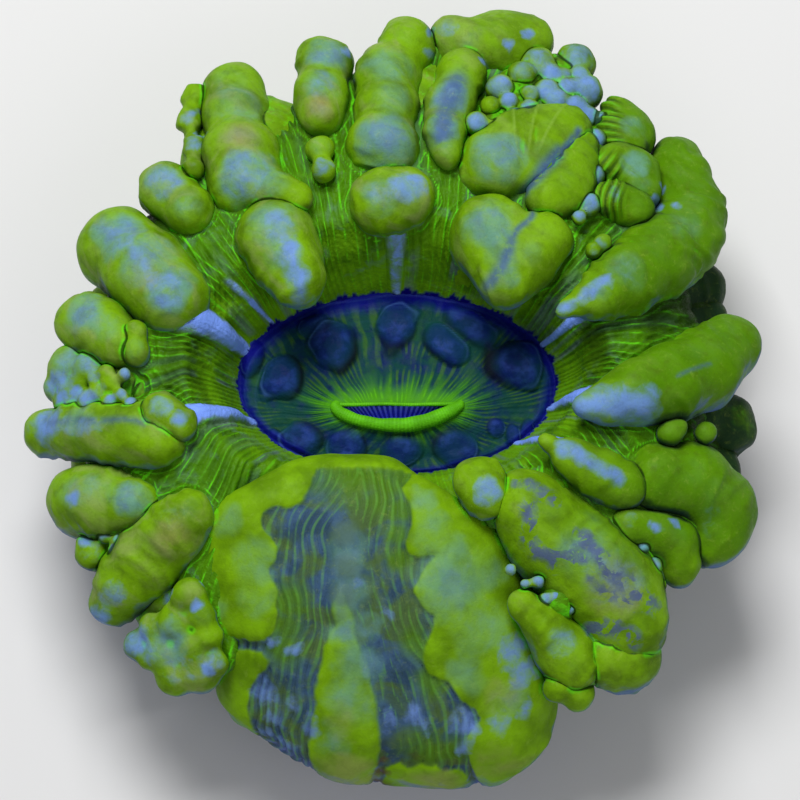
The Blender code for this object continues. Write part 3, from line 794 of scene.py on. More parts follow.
# Painted shade: a dark green line where a lobe touches the next one.
paint.coat_of(SHADE_GREEN, paint.without(paint.mark("gap", 0.0, 0.04)), 0.9)
soft = paint.noise(1.6, detail=5.0, low=0.2, high=0.5)
paint.coat_of((64, 90, 138), paint.both(paint.mark("streak", 0.0, 1.2), soft), 0.95)
torn = paint.noise(3.2, detail=7.0, roughness=0.62, warp=1.0, low=0.45, high=0.49)
paint.coat_of((78, 92, 134), paint.both(paint.patch("torn", 1.5, 0.15, 1.3), torn), 0.9)
mottle(paint, (68, 88, 16), 0.18, (164, 190, 76), 0.2)
paint.coat_of((50, 70, 10), paint.noise(0.5, low=0.5, high=0.8), 0.16)
lobe_skin = paint.finish([(paint.noise(0.4), 0.015)], (0.4, 0.6, paint.noise(1.2)))

for number, lobe in enumerate(lobes):
    others = [other for other in lobes if other is not lobe]
    step = HANGING_STEP if lobe.name.startswith("hanging") else SKIN_STEP
    piece = lobe_skin_piece(lobe, others, 10 + 3 * number, step)
    piece.data.materials.append(lobe_skin)
    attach(piece, "root")

# ---------------------------------------------------------------------------------------------
# The south lobe: the broadest one. It swells up over the edge of the disc and down to the foot
# as two thick lime folds and a tongue, with blue valleys drawn into wavy pleats between them.

# The ridge of the lobe from the disc outwards: y, z, and the x of its left and right sides.
SOUTH_RIDGE = [
    (-13.6, 25.5, -18.0, 6.5), (-13.9, 29.0, -19.5, 6.9), (-14.6, 33.0, -21.5, 7.8),
    (-16.0, 36.6, -24.5, 9.8), (-18.5, 38.8, -27.2, 12.2), (-22.0, 39.5, -29.2, 14.6),
    (-27.0, 38.9, -29.6, 16.4), (-33.0, 37.2, -29.0, 18.0), (-41.0, 34.3, -27.6, 21.0),
    (-48.5, 30.3, -26.6, 23.4), (-54.2, 26.5, -25.4, 23.2), (-57.6, 22.5, -24.5, 22.8),
    (-59.0, 18.0, -23.5, 21.8), (-58.6, 13.5, -21.5, 20.0), (-56.0, 9.8, -18.5, 17.0),
    (-50.0, 7.5, -14.5, 14.5), (-44.0, 7.0, -12.0, 13.0),
]
# How far the flesh falls from the ridge to its sides.
SIDE_DROP = 14.5
# How far round the ridge its flesh reaches on each side, in degrees, and how square its section is.
SIDE_LEAN = 98
SQUARENESS = 2.8
# How far the flesh bows along the lobe at its sides: point of the ridge, left side, right side.
SOUTH_BOWS = [
    (0, -3, -5), (3, -1.5, -4), (6, 0, 0), (9, 0, 0), (10, 0.5, -1), (11, 2, -3.5), (12, 3.5, -4),
    (16, 4, -3),
]
SOUTH_STEP = 0.46
SOUTH_COLUMNS = 380
# Outlines of the folds, as x and y of their corners.
LEFT_FOLD = [
    (-11, -15), (-12.5, -20), (-13.5, -22.5), (-15.5, -23.5), (-17.5, -23), (-19.5, -24), (-19.5, -26),
    (-18, -27), (-17, -29), (-17.5, -31), (-18.5, -32), (-18, -33.5), (-17, -35), (-17, -38),
    (-17.5, -40.5), (-19, -42.3), (-25, -42.5), (-40, -42), (-40, -10), (-20, -8),
]
LOW_LEFT_FOLD = [
    (-25, -43.7), (-19.5, -43.5), (-18, -44.5), (-18.5, -46), (-20, -47.5), (-21, -49.5), (-21.5, -52.5),
    (-21, -58), (-20, -66), (-40, -70), (-40, -43.5),
]
TONGUE = [
    (-8, -34.5), (-9.5, -36.5), (-9.5, -40), (-11, -43.5), (-12, -47), (-12.5, -52), (-13, -56),
    (-12.5, -62), (-11.5, -74), (-4.5, -74), (-3.5, -65), (-2.5, -60), (-2, -55), (-2.5, -50), (-4, -45),
    (-5.5, -41), (-6.5, -37),
]
RIGHT_FOLD = [
    (2.5, -15), (0.5, -20), (1.5, -23), (1.8, -25.5), (0.8, -28), (1.2, -29.8), (3, -30.5), (5, -30),
    (3, -32.5), (2.2, -35), (3, -37), (5.2, -38.3), (5, -40), (4, -42), (3.5, -44.5), (4.5, -46.5),
    (7.5, -47.5), (9, -50), (11.5, -51.5), (12.2, -52.5), (10, -54), (9.3, -55), (10, -57), (10.5, -60),
    (11.5, -65), (13, -74), (40, -74), (40, -8), (6, -8),
]
LOW_RIGHT_FOLD = [
    (-2.3, -68), (-1.8, -63), (0, -60.8), (1.8, -62), (3.2, -60.4), (5.6, -59.4), (7.2, -61.6), (9, -61),
    (10.5, -63.5), (12, -74), (-2, -74),
]
# The soft hump above the tongue.
HUMP = [(-7.6, -27, 2.6, 1), (-7.3, -31.5, 2.6, 1), (-7.8, -35.5, 2.4, 1), (-8, -38, 1.8, 0.7)]
FOLD_RISE = 0.9
FOLD_EDGE = 2.4
PLEAT_GAP = 1.4
# Middle line of the pleats in the two valleys, as y and x.
LEFT_VALLEY = [
    (-14, -7.5), (-18, -8.3), (-22, -10.4), (-26, -13.4), (-33, -13.6), (-39, -13.4), (-44, -14.7),
    (-49, -15.9), (-70, -16.8),
]
RIGHT_VALLEY = [
    (-14, -2.7), (-22, -1.9), (-29, -2.1), (-33, -2.3), (-36, -1.6), (-43, 1.0), (-49, 4.1), (-52, 5.8),
    (-70, 6.6),
]
# Clouds of grey-blue and violet in the flesh: x, y, radius, strength.
SOUTH_TEAL = [
    (7.5, -33, 5.5, 0.9), (5, -26.5, 3, 0.6), (-20, -31, 4, 0.5), (-20, -36.5, 3, 0.4), (-7, -30, 3.5, 0.9),
    (-6.8, -35, 3.5, 0.9), (-6.5, -44, 3.5, 0.7), (12, -40, 4.5, 0.6), (-5, -50, 3, 0.5),
    (-4.5, -40.5, 2.2, 1), (-4, -45, 2.4, 1), (-7, -40.5, 3, 1), (-8, -49, 3, 0.8), (-9, -55, 3, 0.6),
    (3.5, -22, 2, 0.6), (10, -46, 3, 0.6), (13, -33, 2.5, 0.5), (-24, -25, 2.5, 0.5), (-26, -38, 2.5, 0.4),
    (16, -50, 3, 0.7),
]
SOUTH_VIOLET = [
    (16.5, -43.5, 2.4, 0.9), (18, -47, 2.2, 0.9), (15, -53, 1.7, 0.7), (18.5, -52, 1.6, 0.7),
    (-17.8, -41.8, 1.2, 1), (-14.8, -43.2, 1.2, 1), (-19.5, -49.5, 2.2, 0.9), (-17.5, -52.5, 1.8, 0.8),
    (-15, -50.5, 1.4, 0.7), (-13.2, -53.5, 1.6, 0.8), (-15.5, -57.5, 2.2, 0.8), (-19, -56, 1.4, 0.8),
    (-1, -52.6, 1.4, 0.9), (3.2, -51.6, 1.9, 0.9), (10.2, -52.6, 2.2, 1), (9.8, -56.5, 1.4, 1),
    (-5.5, -33.5, 1.2, 0.5), (-1.5, -38.5, 1.6, 0.5),
]
# Warm blushes, and painted brown shade in the creases at the foot of the lobe.
SOUTH_WARM = [
    (-7.5, -60, 4, 1), (-7.5, -66, 5, 1.2), (6, -67, 4, 1), (16, -63, 4, 0.8), (-8, -52, 3, 0.5),
    (15, -49, 3, 0.7), (5, -65, 4, 1), (14, -58, 3, 0.5),
]
SOUTH_CREASE_SHADE = [
    (-2, -60, 1.2, 0.8), (-2.2, -64, 1.3, 1), (-2.5, -68, 1.5, 1), (2.5, -58.5, 1.6, 0.6),
    (8, -59.2, 1.6, 0.6),
]
# Green in the valleys.
GREEN_VALLEY = [
    (-15.5, -36.5, 3, 1), (-16.5, -43, 3, 1), (0, -27, 2, 1), (2.5, -42, 2.2, 1), (5, -47, 2.5, 1),
    (-1, -18, 5, 1), (-7, -17, 6, 1), (-2, -22, 3, 0.8), (4, -57, 4, 1), (8, -57, 3, 1), (-11, -19, 3, 0.7),
    (0.5, -23.5, 2.4, 1), (0.2, -30.5, 2, 0.9), (4, -43, 2.2, 1), (-16, -40, 2.4, 1),
]


def smooth_between(at, knots, values):
    """Values between knots in rising order, with the corners rounded off."""
    fine = np.linspace(knots[0], knots[-1], 500)
    line = np.interp(fine, knots, values)
    for _ in range(120):
        line[1:-1] = 0.25 * line[:-2] + 0.5 * line[1:-1] + 0.25 * line[2:]
    return np.interp(at, fine, line)


def fold_distance(x, y, outline):
    """Distance to the outline of a fold, below zero inside it."""
    nearest = np.full_like(x, 99.0)
    inside = np.zeros(x.shape, bool)
    for (start_x, start_y), (end_x, end_y) in zip(outline, outline[1:] + outline[:1]):
        nearest = np.minimum(nearest, apart_from_line(x, y, start_x, start_y, end_x, end_y))
        across = start_x + (end_x - start_x) * (y - start_y) / ((end_y - start_y) or 1e-9)
        inside ^= ((start_y > y) != (end_y > y)) & (x < across)
    return np.where(inside, -nearest, nearest)


ridge = np.array(SOUTH_RIDGE)
way = np.concatenate([[0], np.cumsum(np.hypot(np.diff(ridge[:, 0]), np.diff(ridge[:, 1])))])
rows = np.arange(0, way[-1], SOUTH_STEP)
ridge_y, ridge_z, left, right = (smooth_between(rows, way, ridge[:, k])[:, None] for k in range(4))
tangent_y, tangent_z = np.gradient(ridge_y[:, 0]), np.gradient(ridge_z[:, 0])
length = np.hypot(tangent_y, tangent_z)
out_y, out_z = (tangent_z / length)[:, None], (-tangent_y / length)[:, None]
# The columns run from the right side to the left, so that the faces look outwards.
lean = np.radians(np.linspace(-SIDE_LEAN, SIDE_LEAN, SOUTH_COLUMNS))[::-1]
side = np.sign(lean) * np.abs(np.sin(lean)) ** (2 / SQUARENESS)
drop = SIDE_DROP * (1 - np.sign(np.cos(lean)) * np.abs(np.cos(lean)) ** (2 / SQUARENESS))
x = (left + right) / 2 + (right - left) / 2 * side
bow_points, *bows = np.array(SOUTH_BOWS).T
bow_left, bow_right = (np.interp(rows, way[bow_points.astype(int)], bow)[:, None] for bow in bows)
bow = np.where(side > 0, bow_right, bow_left) * np.abs(side) ** 2.5
y = ridge_y + bow - drop * out_y
z = ridge_z - drop * out_z
south_points = np.stack([x, y, z], axis=-1)
# Below the edge the folds run on down the front, so their plan is unrolled there.
plan_x, plan_y = x, ridge_y + bow - np.clip(25 - ridge_z, 0, None) * (ridge_y < -50)
bent = drifted(plan_x, plan_y, south_points, 0.35, 2.2, (41, 46))
outlines = (LEFT_FOLD, LOW_LEFT_FOLD, RIGHT_FOLD, LOW_RIGHT_FOLD)
fold = np.min([fold_distance(*bent, outline) for outline in outlines], axis=0)
# The tongue's sides are gentler than the folds'.
fold = np.minimum(fold, 0.6 * fold_distance(*bent, TONGUE))
# A rim of the folds' flesh runs along the edge next to the disc.
fold = np.minimum(fold, -plan_y - 17.6 + 0.5 * lumps(south_points, 3.0, 49))
fold += 0.15 * lumps(south_points, 1.0, 47)
inside = np.clip(-fold / FOLD_EDGE, 0, 1)
rise = np.sqrt(1 - (1 - inside) ** 2)
left_line, right_line = (smooth_between(plan_y, *zip(*sorted(line))) for line in (LEFT_VALLEY, RIGHT_VALLEY))
waver = 0.17 * np.sin(plan_y / 1.7 + 0.25 * plan_x) + 0.08 * np.sin(plan_y / 0.8 - 0.4 * plan_x)
waver = waver + 0.55 * lumps(south_points * [1, 0.35, 1], 3.5, 48)
middle = (left_line + right_line) / 2
phase = np.where(plan_x < middle, plan_x - left_line, plan_x - right_line + 4 * PLEAT_GAP) / PLEAT_GAP + waver
pleat = np.abs(np.cos(math.pi * phase))
hump = patches(plan_x, plan_y, HUMP, 1.0)
valley = (1 - rise) * (1 - 0.8 * hump)
south_out = grid_normals(south_points, closed=False)
swell = FOLD_RISE * rise + 0.34 * valley * (pleat**0.8 - 0.5)
swell += 0.8 * lumps(south_points, 7.0, 42) + 0.25 * lumps(south_points, 3.0, 43)
swell += 0.3 * np.clip(patches(plan_x, plan_y, SOUTH_VIOLET, 0.8) * valley, 0, 1) + 0.5 * hump
south_points = south_points + south_out * swell[..., None]
south_out = grid_normals(south_points, closed=False)
drift = drifted(plan_x, plan_y, south_points, 1.1, 2.2, (44, 45))
marks = {
    "fold": inside,
    "pleat_top": pleat * (1 - 0.6 * hump),
    "hump": hump,
    "teal": patches(*drift, SOUTH_TEAL, 0.9),
    "violet": patches(*drift, SOUTH_VIOLET, 1.0) * np.maximum(0.7 + 0.35 * pleat, rise),
    "brown": patches(plan_x, plan_y, SOUTH_CREASE_SHADE, 1.0),
    "warm": patches(*drift, SOUTH_WARM, 0.8),
    "green_valley": patches(plan_x, plan_y, GREEN_VALLEY),
    # Painted shade: under marks the flesh that faces down.
    "under": np.clip((0.45 - south_out[..., 2]) / 0.9, 0, 1),
    "gap": np.clip(nearest_flesh(south_points, lobes) / GAP_REACH, 0, 1),
}
south = piece_from_grid("south_lobe", south_points, closed=False, marks=marks)

paint = Paint("south_lobe_skin", roughness=0.52)
paint.coat_of((60, 88, 120))
paint.coat_of((42, 66, 84), paint.noise(3.5, detail=4.0, low=0.38, high=0.6), 0.75)
paint.coat_of((78, 104, 30), paint.noise(6.0, warp=0.5, low=0.42, high=0.6), 0.75)
paint.coat_of((76, 118, 12), paint.mark("green_valley"), 0.85)
line = paint.both(paint.mark("pleat_top", 0.75, 1.0), paint.noise(4.0, low=0.3, high=0.65))
paint.coat_of((96, 160, 56), line, 0.43)
# Painted shade: darker grey in the grooves between the pleats.
paint.coat_of((28, 40, 44), paint.without(paint.mark("pleat_top", 0.0, 0.35)), 0.3)
flesh = paint.mark("fold", 0.0, 0.2)
paint.coat_of(OLIVE, flesh)
paint.coat_of(LIME, paint.both(flesh, paint.noise(6.0, low=0.28, high=0.62)))
paint.coat_of(TEAL, paint.patch("teal", 4.0, 0.1, 1.6), 0.65)
paint.coat_of(SLATE, paint.patch("teal", 2.5, 0.7, 1.6), 0.5)
paint.coat_of((84, 112, 104), paint.mark("hump", 0.2, 1.0), 0.8)
paint.coat_of((140, 152, 80), paint.patch("warm", 4.0, 0.1, 1.3), 0.7)
paint.coat_of((104, 136, 204), paint.patch("violet", 1.6, 0.25, 1.5), 0.85)
# Painted shade: dark brown in the creases at the foot of the lobe.
paint.coat_of((84, 60, 44), paint.patch("brown", 2.0, 0.3, 1.3), 0.8)
# Painted shade: blue-violet on the flesh that faces down.
paint.coat_of((84, 104, 186), paint.patch("under", 4.0, 0.4, 1.2), 0.8)
seam = paint.without(paint.mark("gap", 0.03, 0.13))
paint.coat_of(NEON, paint.both(seam, paint.noise(2.5, low=0.35, high=0.6)), 0.8)
mottle(paint, (60, 84, 20), 0.16, (160, 186, 84), 0.16)
south.data.materials.append(paint.finish([(paint.noise(0.4), 0.015)], (0.45, 0.62, paint.noise(1.2))))
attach(south, "root")

# ---------------------------------------------------------------------------------------------
# The under flesh: the frilled skirt under the lobes. Broad swellings fill the polyp out between
# the lobes and the foot, and a lower row of smaller bulges hangs over the foot all the way round.

# Broad swellings: x, y, height, radius.
SWELLINGS = [(19, 35, 22, 12), (-30.5, -30.5, 21, 10), (-21, 34, 21, 12), (1.5, 42, 21, 11)]
SKIRT_COUNT = 24
SKIRT_HALF = (45.5, 47.5)
SKIRT_INSET = 4.0
SKIRT_RADII = (4.6, 6.4)
SKIRT_HEIGHTS = (14.0, 18.0)
SKIRT_SEED = 7
SKIRT_STEP = 1.0

chance = random.Random(SKIRT_SEED)
skirt = list(SWELLINGS)
for i in range(SKIRT_COUNT):
    bearing = 2 * math.pi * (i + chance.uniform(-0.25, 0.25)) / SKIRT_COUNT
    radius = chance.uniform(*SKIRT_RADII)
    reach = reach_along(SKIRT_HALF, bearing) - chance.uniform(0.0, SKIRT_INSET)
    height = chance.uniform(*SKIRT_HEIGHTS)
    skirt.append((reach * math.cos(bearing), reach * math.sin(bearing), height, radius))
for number, (x, y, height, radius) in enumerate(skirt):
    inward = 1 - radius / 45
    row = [(x, y, height, radius, 0, 0), (x * inward, y * inward, height + 2, radius, 0, 0)]
    flesh = Lobe(f"skirt_{number}", row, 0.8, deep=0.9)
    piece = lobe_skin_piece(flesh, lobes, 200 + 3 * number, SKIRT_STEP)
    piece.data.materials.append(lobe_skin)
    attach(piece, "root")

# ---------------------------------------------------------------------------------------------
# The mantle: the sheet of flesh that runs from under the lobes, over the crest and down the
# wall of the hollow to the disc. It is drawn into fine pleats that fan out from the disc, with
# a pale ridge here and there where a skeleton blade pushes it up.

MANTLE_RINGS = [
    (43.0, 46.5, 18.5, -3.5), (46.8, 50.3, 22.2, -3.5), (45.5, 48.6, 28.0, -3.0), (41.5, 42.2, 32.8, -2.0),
    (36.0, 31.0, 36.2, -1.0), (31.5, 22.0, 36.8, 0.0), (28.0, 18.2, 32.5, 0.0), (25.2, 15.4, 26.5, 0.0),
    (23.8, 14.0, 24.0, 0.0),
]
PLEATS = 130
COLUMNS_A_PLEAT = 7
# Distance up the wall from the disc, and how deep the pleats are there.
PLEAT_DEPTHS = [(0, 0.06), (1.5, 0.16), (8, 0.26), (16, 0.36), (30, 0.4)]
MANTLE_STEP = 0.6
# The web of skin between the lobes: how far it rounds them into one another, its depth in them, how
# far it can lift, the steps that it is looked for in, and how many columns apart.
WEB_SOFT = 7.0
WEB_DEPTH = 1.9
WEB_LIFT = 13.0
WEB_STEP = 0.6
WEB_COLUMNS = 3
# Pale ridges: bearing, half width, the reach that they run out to, and how pale they are.
PALE_RIDGES = [
    (15, 1.3, 33, 1), (90.5, 2.2, 23, 0.4), (154, 0.8, 29, 0.6), (168, 3.0, 35, 1), (196, 2.2, 36, 1),
    (332, 1.6, 33, 1), (350, 2.0, 34, 1),
]


def webbed_flesh(points, lobes):
    """Distance to the lobes, with the nearest two of them rounded into each other."""
    nearest = np.full((2,) + points.shape[:-1], 9.0)
    for lobe in lobes:
        near = lobe.near(points)
        if near.any():
            one = lobe.distance(points[near])
            first, second = nearest[:, near]
            nearest[:, near] = np.minimum(first, one), np.minimum(second, np.maximum(first, one))
    return blended(nearest[0], nearest[1], WEB_SOFT)


def web_lift(points, outward, lobes):
    """How far each point of the mantle is drawn outwards, up to the web between the lobes."""
    lift = np.zeros(points.shape[:-1])
    before = webbed_flesh(points, lobes) + WEB_DEPTH
    for rise in np.arange(WEB_STEP, WEB_LIFT, WEB_STEP):
        depth = webbed_flesh(points + outward * rise, lobes) + WEB_DEPTH
        leaves = (before < 0) & (depth >= 0)
        lift[leaves] = rise - WEB_STEP * depth[leaves] / (depth[leaves] - before[leaves])
        before = depth
    return lift


def circle(turns, reach):
    """Points on a level circle round the Z axis."""
    return np.stack([np.cos(turns) * reach, np.sin(turns) * reach, 0 * turns], axis=-1)


mantle_rings, mantle_way = rings_between(MANTLE_RINGS, MANTLE_STEP)
mantle_turns = turns_round(PLEATS * COLUMNS_A_PLEAT)
mantle_points = ring_points(mantle_rings, mantle_turns)
# Under the south lobe the mantle lies lower.
under_south = np.clip((-mantle_points[..., 1] - 15) / 6, 0, 1)
under_south = under_south * np.clip((24 - np.abs(mantle_points[..., 0])) / 4, 0, 1)
mantle_points[..., 2] -= 6 * under_south * np.clip((mantle_points[..., 2] - 24) / 4, 0, 1)
mantle_out = grid_normals(mantle_points, closed=True)
# The web doesn't run up between the beads of the two big clusters.
web_lobes = [lobe for lobe in lobes if lobe.name not in ("lobe_pearls", "lobe_west_middle")]
lift = web_lift(mantle_points[:, ::WEB_COLUMNS], mantle_out[:, ::WEB_COLUMNS], web_lobes)
# The edges of the web are smoothed, round the mantle and up it.
for _ in range(3):
    lift = 0.5 * lift + 0.25 * (np.roll(lift, 1, axis=1) + np.roll(lift, -1, axis=1))
    lift[1:-1] = 0.5 * lift[1:-1] + 0.25 * (lift[:-2] + lift[2:])
web_turns = mantle_turns[::WEB_COLUMNS]
lift = np.stack([np.interp(mantle_turns, web_turns, row, period=2 * math.pi) for row in lift])
mantle_points += mantle_out * lift[..., None]
mantle_out = grid_normals(mantle_points, closed=True)
up_from_disc = (mantle_way[-1] - mantle_way)[:, None]
turns = mantle_turns[None, :]
wobble = 0.22 * np.sin(0.16 * up_from_disc + 5 * turns) + 0.1 * np.sin(0.35 * up_from_disc - 9 * turns)
pleat_phase = PLEATS * turns / (2 * math.pi) + wobble + 0.35 * np.sin(13 * turns) + 0.2 * np.sin(29 * turns)
pleat = np.abs(np.sin(math.pi * pleat_phase))
pleat_depth = np.interp(up_from_disc, *zip(*PLEAT_DEPTHS))
cross = np.sin(2 * math.pi * (up_from_disc / 1.9 + 0.5 * np.sin(7 * turns) + 0.3 * np.sin(23 * turns)))
cross *= np.clip(0.5 + 1.5 * lumps(mantle_points, 6.0, 13), 0, 1)
swell = pleat_depth * (pleat**0.8 - 0.5) + 0.04 * cross * np.clip(up_from_disc / 4, 0, 1)
swell += 0.5 * lumps(mantle_points, 4.5, 2) * np.clip(up_from_disc / 10, 0, 1)
# Round the foot of each lobe the skin is gathered into folds that follow the lobe.
gap = nearest_flesh(mantle_points, lobes)
near_lobe = np.exp(-np.clip(gap, 0, None) / 2.4) * np.clip(up_from_disc / 6, 0, 1)
hug = -np.cos(2 * math.pi * (gap / 0.95 + 0.35 * lumps(mantle_points, 2.5, 4)))
swell += 0.28 * near_lobe * hug
swell *= np.clip((gap + 0.5) / 1.2, 0.05, 1)

bearings = np.arctan2(mantle_points[..., 1], mantle_points[..., 0])
reaches = np.hypot(mantle_points[..., 0], mantle_points[..., 1])
disc_reach = reach_along(MANTLE_RINGS[-1][:2], bearings)
near_disc = np.clip((reaches - disc_reach) / 3.0, 0.35, 1)
# The pale ridges stand up out of the pleats, which fade out on them.
pale = np.zeros_like(reaches)
for degrees, half_width, far, strength in PALE_RIDGES:
    aside = np.sin(bearings - math.radians(degrees)) * reaches
    facing = np.cos(bearings - math.radians(degrees)) > 0
    width = half_width * (0.35 + 0.85 * np.clip((reaches - disc_reach) / (far - disc_reach), 0, 1))
    across = np.clip(1 - (aside / width) ** 2, 0, 1)
    ends = np.clip((far - reaches) / 3.0, 0, 1)
    pale = np.maximum(pale, strength * facing * across * ends)
    swell *= 1 - 0.8 * facing * across * ends
    swell += facing * across**0.7 * ends * near_disc * half_width * 0.6 * strength

mantle_points = mantle_points + mantle_out * swell[..., None]
strips = circle(mantle_turns, 22)
teeth = 0.7 + 0.9 * lumps(strips, 1.1, 3) + 0.6 * lumps(strips, 0.35, 4)
marks = {
    "pleat_top": pleat,
    "cross_line": np.clip(cross, 0, 1),
    "near_lobe": near_lobe,
    # Painted shade: deep marks the mantle lying well below the tops of the lobes.
    "deep": np.clip((depth_below_top(mantle_points) - 3) / 4, 0, 1) * np.clip((reaches - 27) / 5, 0, 1),
    "fold_top": np.clip(hug, 0, 1) * near_lobe,
    "strip": 0.5 + 0.5 * lumps(strips, 1.1, 12),
    "pale_ridge": pale,
    "disc_edge": np.clip((teeth - up_from_disc) / 0.35, 0, 1),
    "shaded_out_of_hollow": np.clip((up_from_disc - 11) / 8, 0, 1),
}
mantle = piece_from_grid("pleated_mantle", mantle_points, closed=True, marks=marks)

paint = Paint("pleated_flesh", roughness=0.5)
paint.coat_of((84, 132, 8))
paint.coat_of((104, 158, 12), paint.noise(5.0), 0.8)
strip = paint.both(paint.mark("strip", 0.55, 0.75), paint.noise(8.0, low=0.4, high=0.55))
paint.coat_of((92, 112, 116), strip, 0.8)
# Painted shade: a darker green on the mantle out of the hollow, down between the lobes.
paint.coat_of((60, 112, 8), paint.mark("shaded_out_of_hollow"), 0.7)
paint.coat_of((46, 88, 8), paint.noise(6.0, detail=4.0, warp=0.5, low=0.5, high=0.68), 0.6)
paint.coat_of((98, 136, 108), paint.noise(5.5, detail=4.0, warp=0.8, low=0.55, high=0.72), 0.5)
along = paint.both(paint.mark("pleat_top", 0.92, 1.0), paint.noise(3.0, low=0.35, high=0.65))
crossing = paint.both(paint.mark("cross_line", 0.86, 1.0), paint.noise(2.0, low=0.4, high=0.65))
lines = paint.math("MAXIMUM", along, crossing)
paint.coat_of((96, 190, 16), lines, 0.55)
paint.coat_of(NEON, paint.both(lines, paint.mark("near_lobe", 0.1, 0.6)), 0.65)
fold = paint.both(paint.mark("fold_top", 0.35, 0.85), paint.noise(2.0, low=0.3, high=0.6))
paint.coat_of(NEON, fold, 0.75)
# Painted shade: dark green in the grooves between the pleats.
paint.coat_of(SHADE_GREEN, paint.stretch(paint.without(paint.mark("pleat_top")), 0.86, 1.0), 0.36)
# Painted shade: near-black green where the mantle lies deep below the tops of the lobes.
paint.coat_of((12, 28, 6), paint.patch("deep", 5.0, 0.1, 1.2), 0.8)
paint.coat_of((112, 140, 150), paint.patch("pale_ridge", 2.0, 0.05, 0.7), 0.7)
paint.coat_of((124, 160, 255), paint.patch("pale_ridge", 2.0, 0.4, 1.0), 0.95)
paint.coat_of((10, 6, 110), paint.mark("disc_edge"))
mantle.data.materials.append(paint.finish([(paint.noise(0.6), 0.05)], (0.35, 0.55, paint.noise(1.5))))
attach(mantle, "root")

# ---------------------------------------------------------------------------------------------
# The oral disc: a thin, taut sheet of deep blue flesh at the bottom of the hollow. Blue knobs
# swell up round it, and green streaks run out over it from the lips.

RIM_HALF = (24.3, 14.6)
DISC_TURNS = 560
DISC_RINGS = 72
# Share of the way out from the mouth, and the height there.
DISC_PROFILE = [(0, 26.2), (0.08, 26.0), (0.3, 24.9), (0.6, 24.3), (0.88, 24.3), (0.95, 23.8), (1.0, 24.2)]
# The slit of the mouth: half its length, how far it opens each side of its middle, and its middle
# along Y.
LIP_HALF = 8.7
LIP_OPEN = (0.3, 2.0)
LIP_MIDDLE = -4.4
# Knobs: place across and along, half width, half depth, height, and turn in degrees.
DISC_KNOBS = [
    (-9.6, 5.7, 3.5, 4.0, 1.9, 15), (-0.3, 8.8, 3.2, 3.9, 1.5, 0), (7.2, 5.6, 3.9, 2.6, 1.8, -35),
    (11.2, 8.8, 4.6, 2.2, 1.5, -35), (18.0, 2.6, 4.2, 3.5, 2.2, -20), (-17.4, 0.7, 3.3, 3.7, 1.9, -25),
    (-21.8, 3.4, 1.9, 3.2, 1.4, -15), (-12.6, 8.8, 2.6, 1.7, 1.2, 20), (-14.4, -9.0, 3.2, 2.6, 1.4, 0),
    (-18.0, -9.6, 1.2, 2.6, 1.0, 15), (-7.6, -10.3, 3.1, 2.4, 1.3, 0), (0.5, -10.9, 3.3, 2.4, 1.3, 0),
    (9.1, -10.5, 3.3, 2.7, 1.4, 0), (14.9, -7.3, 1.5, 1.6, 0.7, 0), (17.2, -8.2, 1.2, 1.9, 0.8, 0),
    (19.4, -7.6, 1.0, 1.9, 0.8, 0),
]

disc_turns = turns_round(DISC_TURNS)
disc_out = np.linspace(1, 0, DISC_RINGS)[:, None]
eased = disc_out**0.9
lip_open = np.where(np.sin(disc_turns) > 0, *LIP_OPEN)
x = (LIP_HALF + (RIM_HALF[0] - LIP_HALF) * eased) * np.cos(disc_turns)
y = (lip_open + (RIM_HALF[1] - lip_open) * eased) * np.sin(disc_turns)
y = y + LIP_MIDDLE * (1 - eased**1.2)
height = np.broadcast_to(np.interp(disc_out, *zip(*DISC_PROFILE)), x.shape).copy()
knobs, arcs, shade = (np.zeros_like(height) for _ in range(3))
ragged = 0.26 * lumps(np.stack([x, y, 0 * x], axis=-1), 2.4, 8)
for knob_x, knob_y, half_x, half_y, rise, degrees in DISC_KNOBS:
    turn = math.radians(degrees)
    along = (x - knob_x) * math.cos(turn) + (y - knob_y) * math.sin(turn)
    aside = (y - knob_y) * math.cos(turn) - (x - knob_x) * math.sin(turn)
    apart = np.hypot(along / half_x, aside / half_y) * (1 + ragged)
    dome = np.clip(1.15 - apart**2.2, 0, 1) ** 0.8
    height += 0.85 * rise * dome * (1 - 0.5 * knobs)
    # An arc of light lies on the side of each knob that faces the rim, and shade on the other.
    rimward = ((x - knob_x) * knob_x + (y - knob_y) * knob_y) / math.hypot(knob_x, knob_y) / half_x
    outer, inner = np.clip(rimward, 0, 1), np.clip(-rimward, 0, 1)
    arcs = np.maximum(arcs, np.clip(1 - np.abs(apart - 0.9) / 0.07, 0, 1) * outer)
    shade = np.maximum(shade, np.clip(1 - np.abs(apart - 0.95) / 0.3, 0, 1) * inner * rise / 1.9)
    knobs = np.maximum(knobs, dome)
disc_points = np.stack([x, y, height], axis=-1)
# Broad streaks and fine hairs run outwards from the lips, and wrinkles run round the disc.
streak_phase = 27 * disc_turns + 2.2 * lumps(disc_points, 5.0, 14) + 1.6 * np.sin(5 * disc_turns)
streak_phase = streak_phase + 0.9 * np.sin(11 * disc_turns) + 0.5 * np.sin(4 * disc_out + 7 * disc_turns)
fine_phase = 83 * disc_turns + 3.5 * np.sin(9 * disc_turns) + 2.6 * lumps(disc_points, 3.0, 9)
streak = 0.5 + 0.5 * np.sin(streak_phase)
hair = 0.5 + 0.5 * np.sin(fine_phase)
uneven = 0.5 + 0.5 * lumps(circle(disc_turns, 9), 1.6, 5)
disc_points[..., 2] += (0.10 * streak + 0.05 * hair) * np.clip(disc_out * 5, 0, 1) * (1 - 0.7 * knobs)
wrinkle = np.sin(2 * math.pi * disc_out * 9 + 2 * np.sin(3 * disc_turns) + 2 * lumps(disc_points, 5.0, 10))
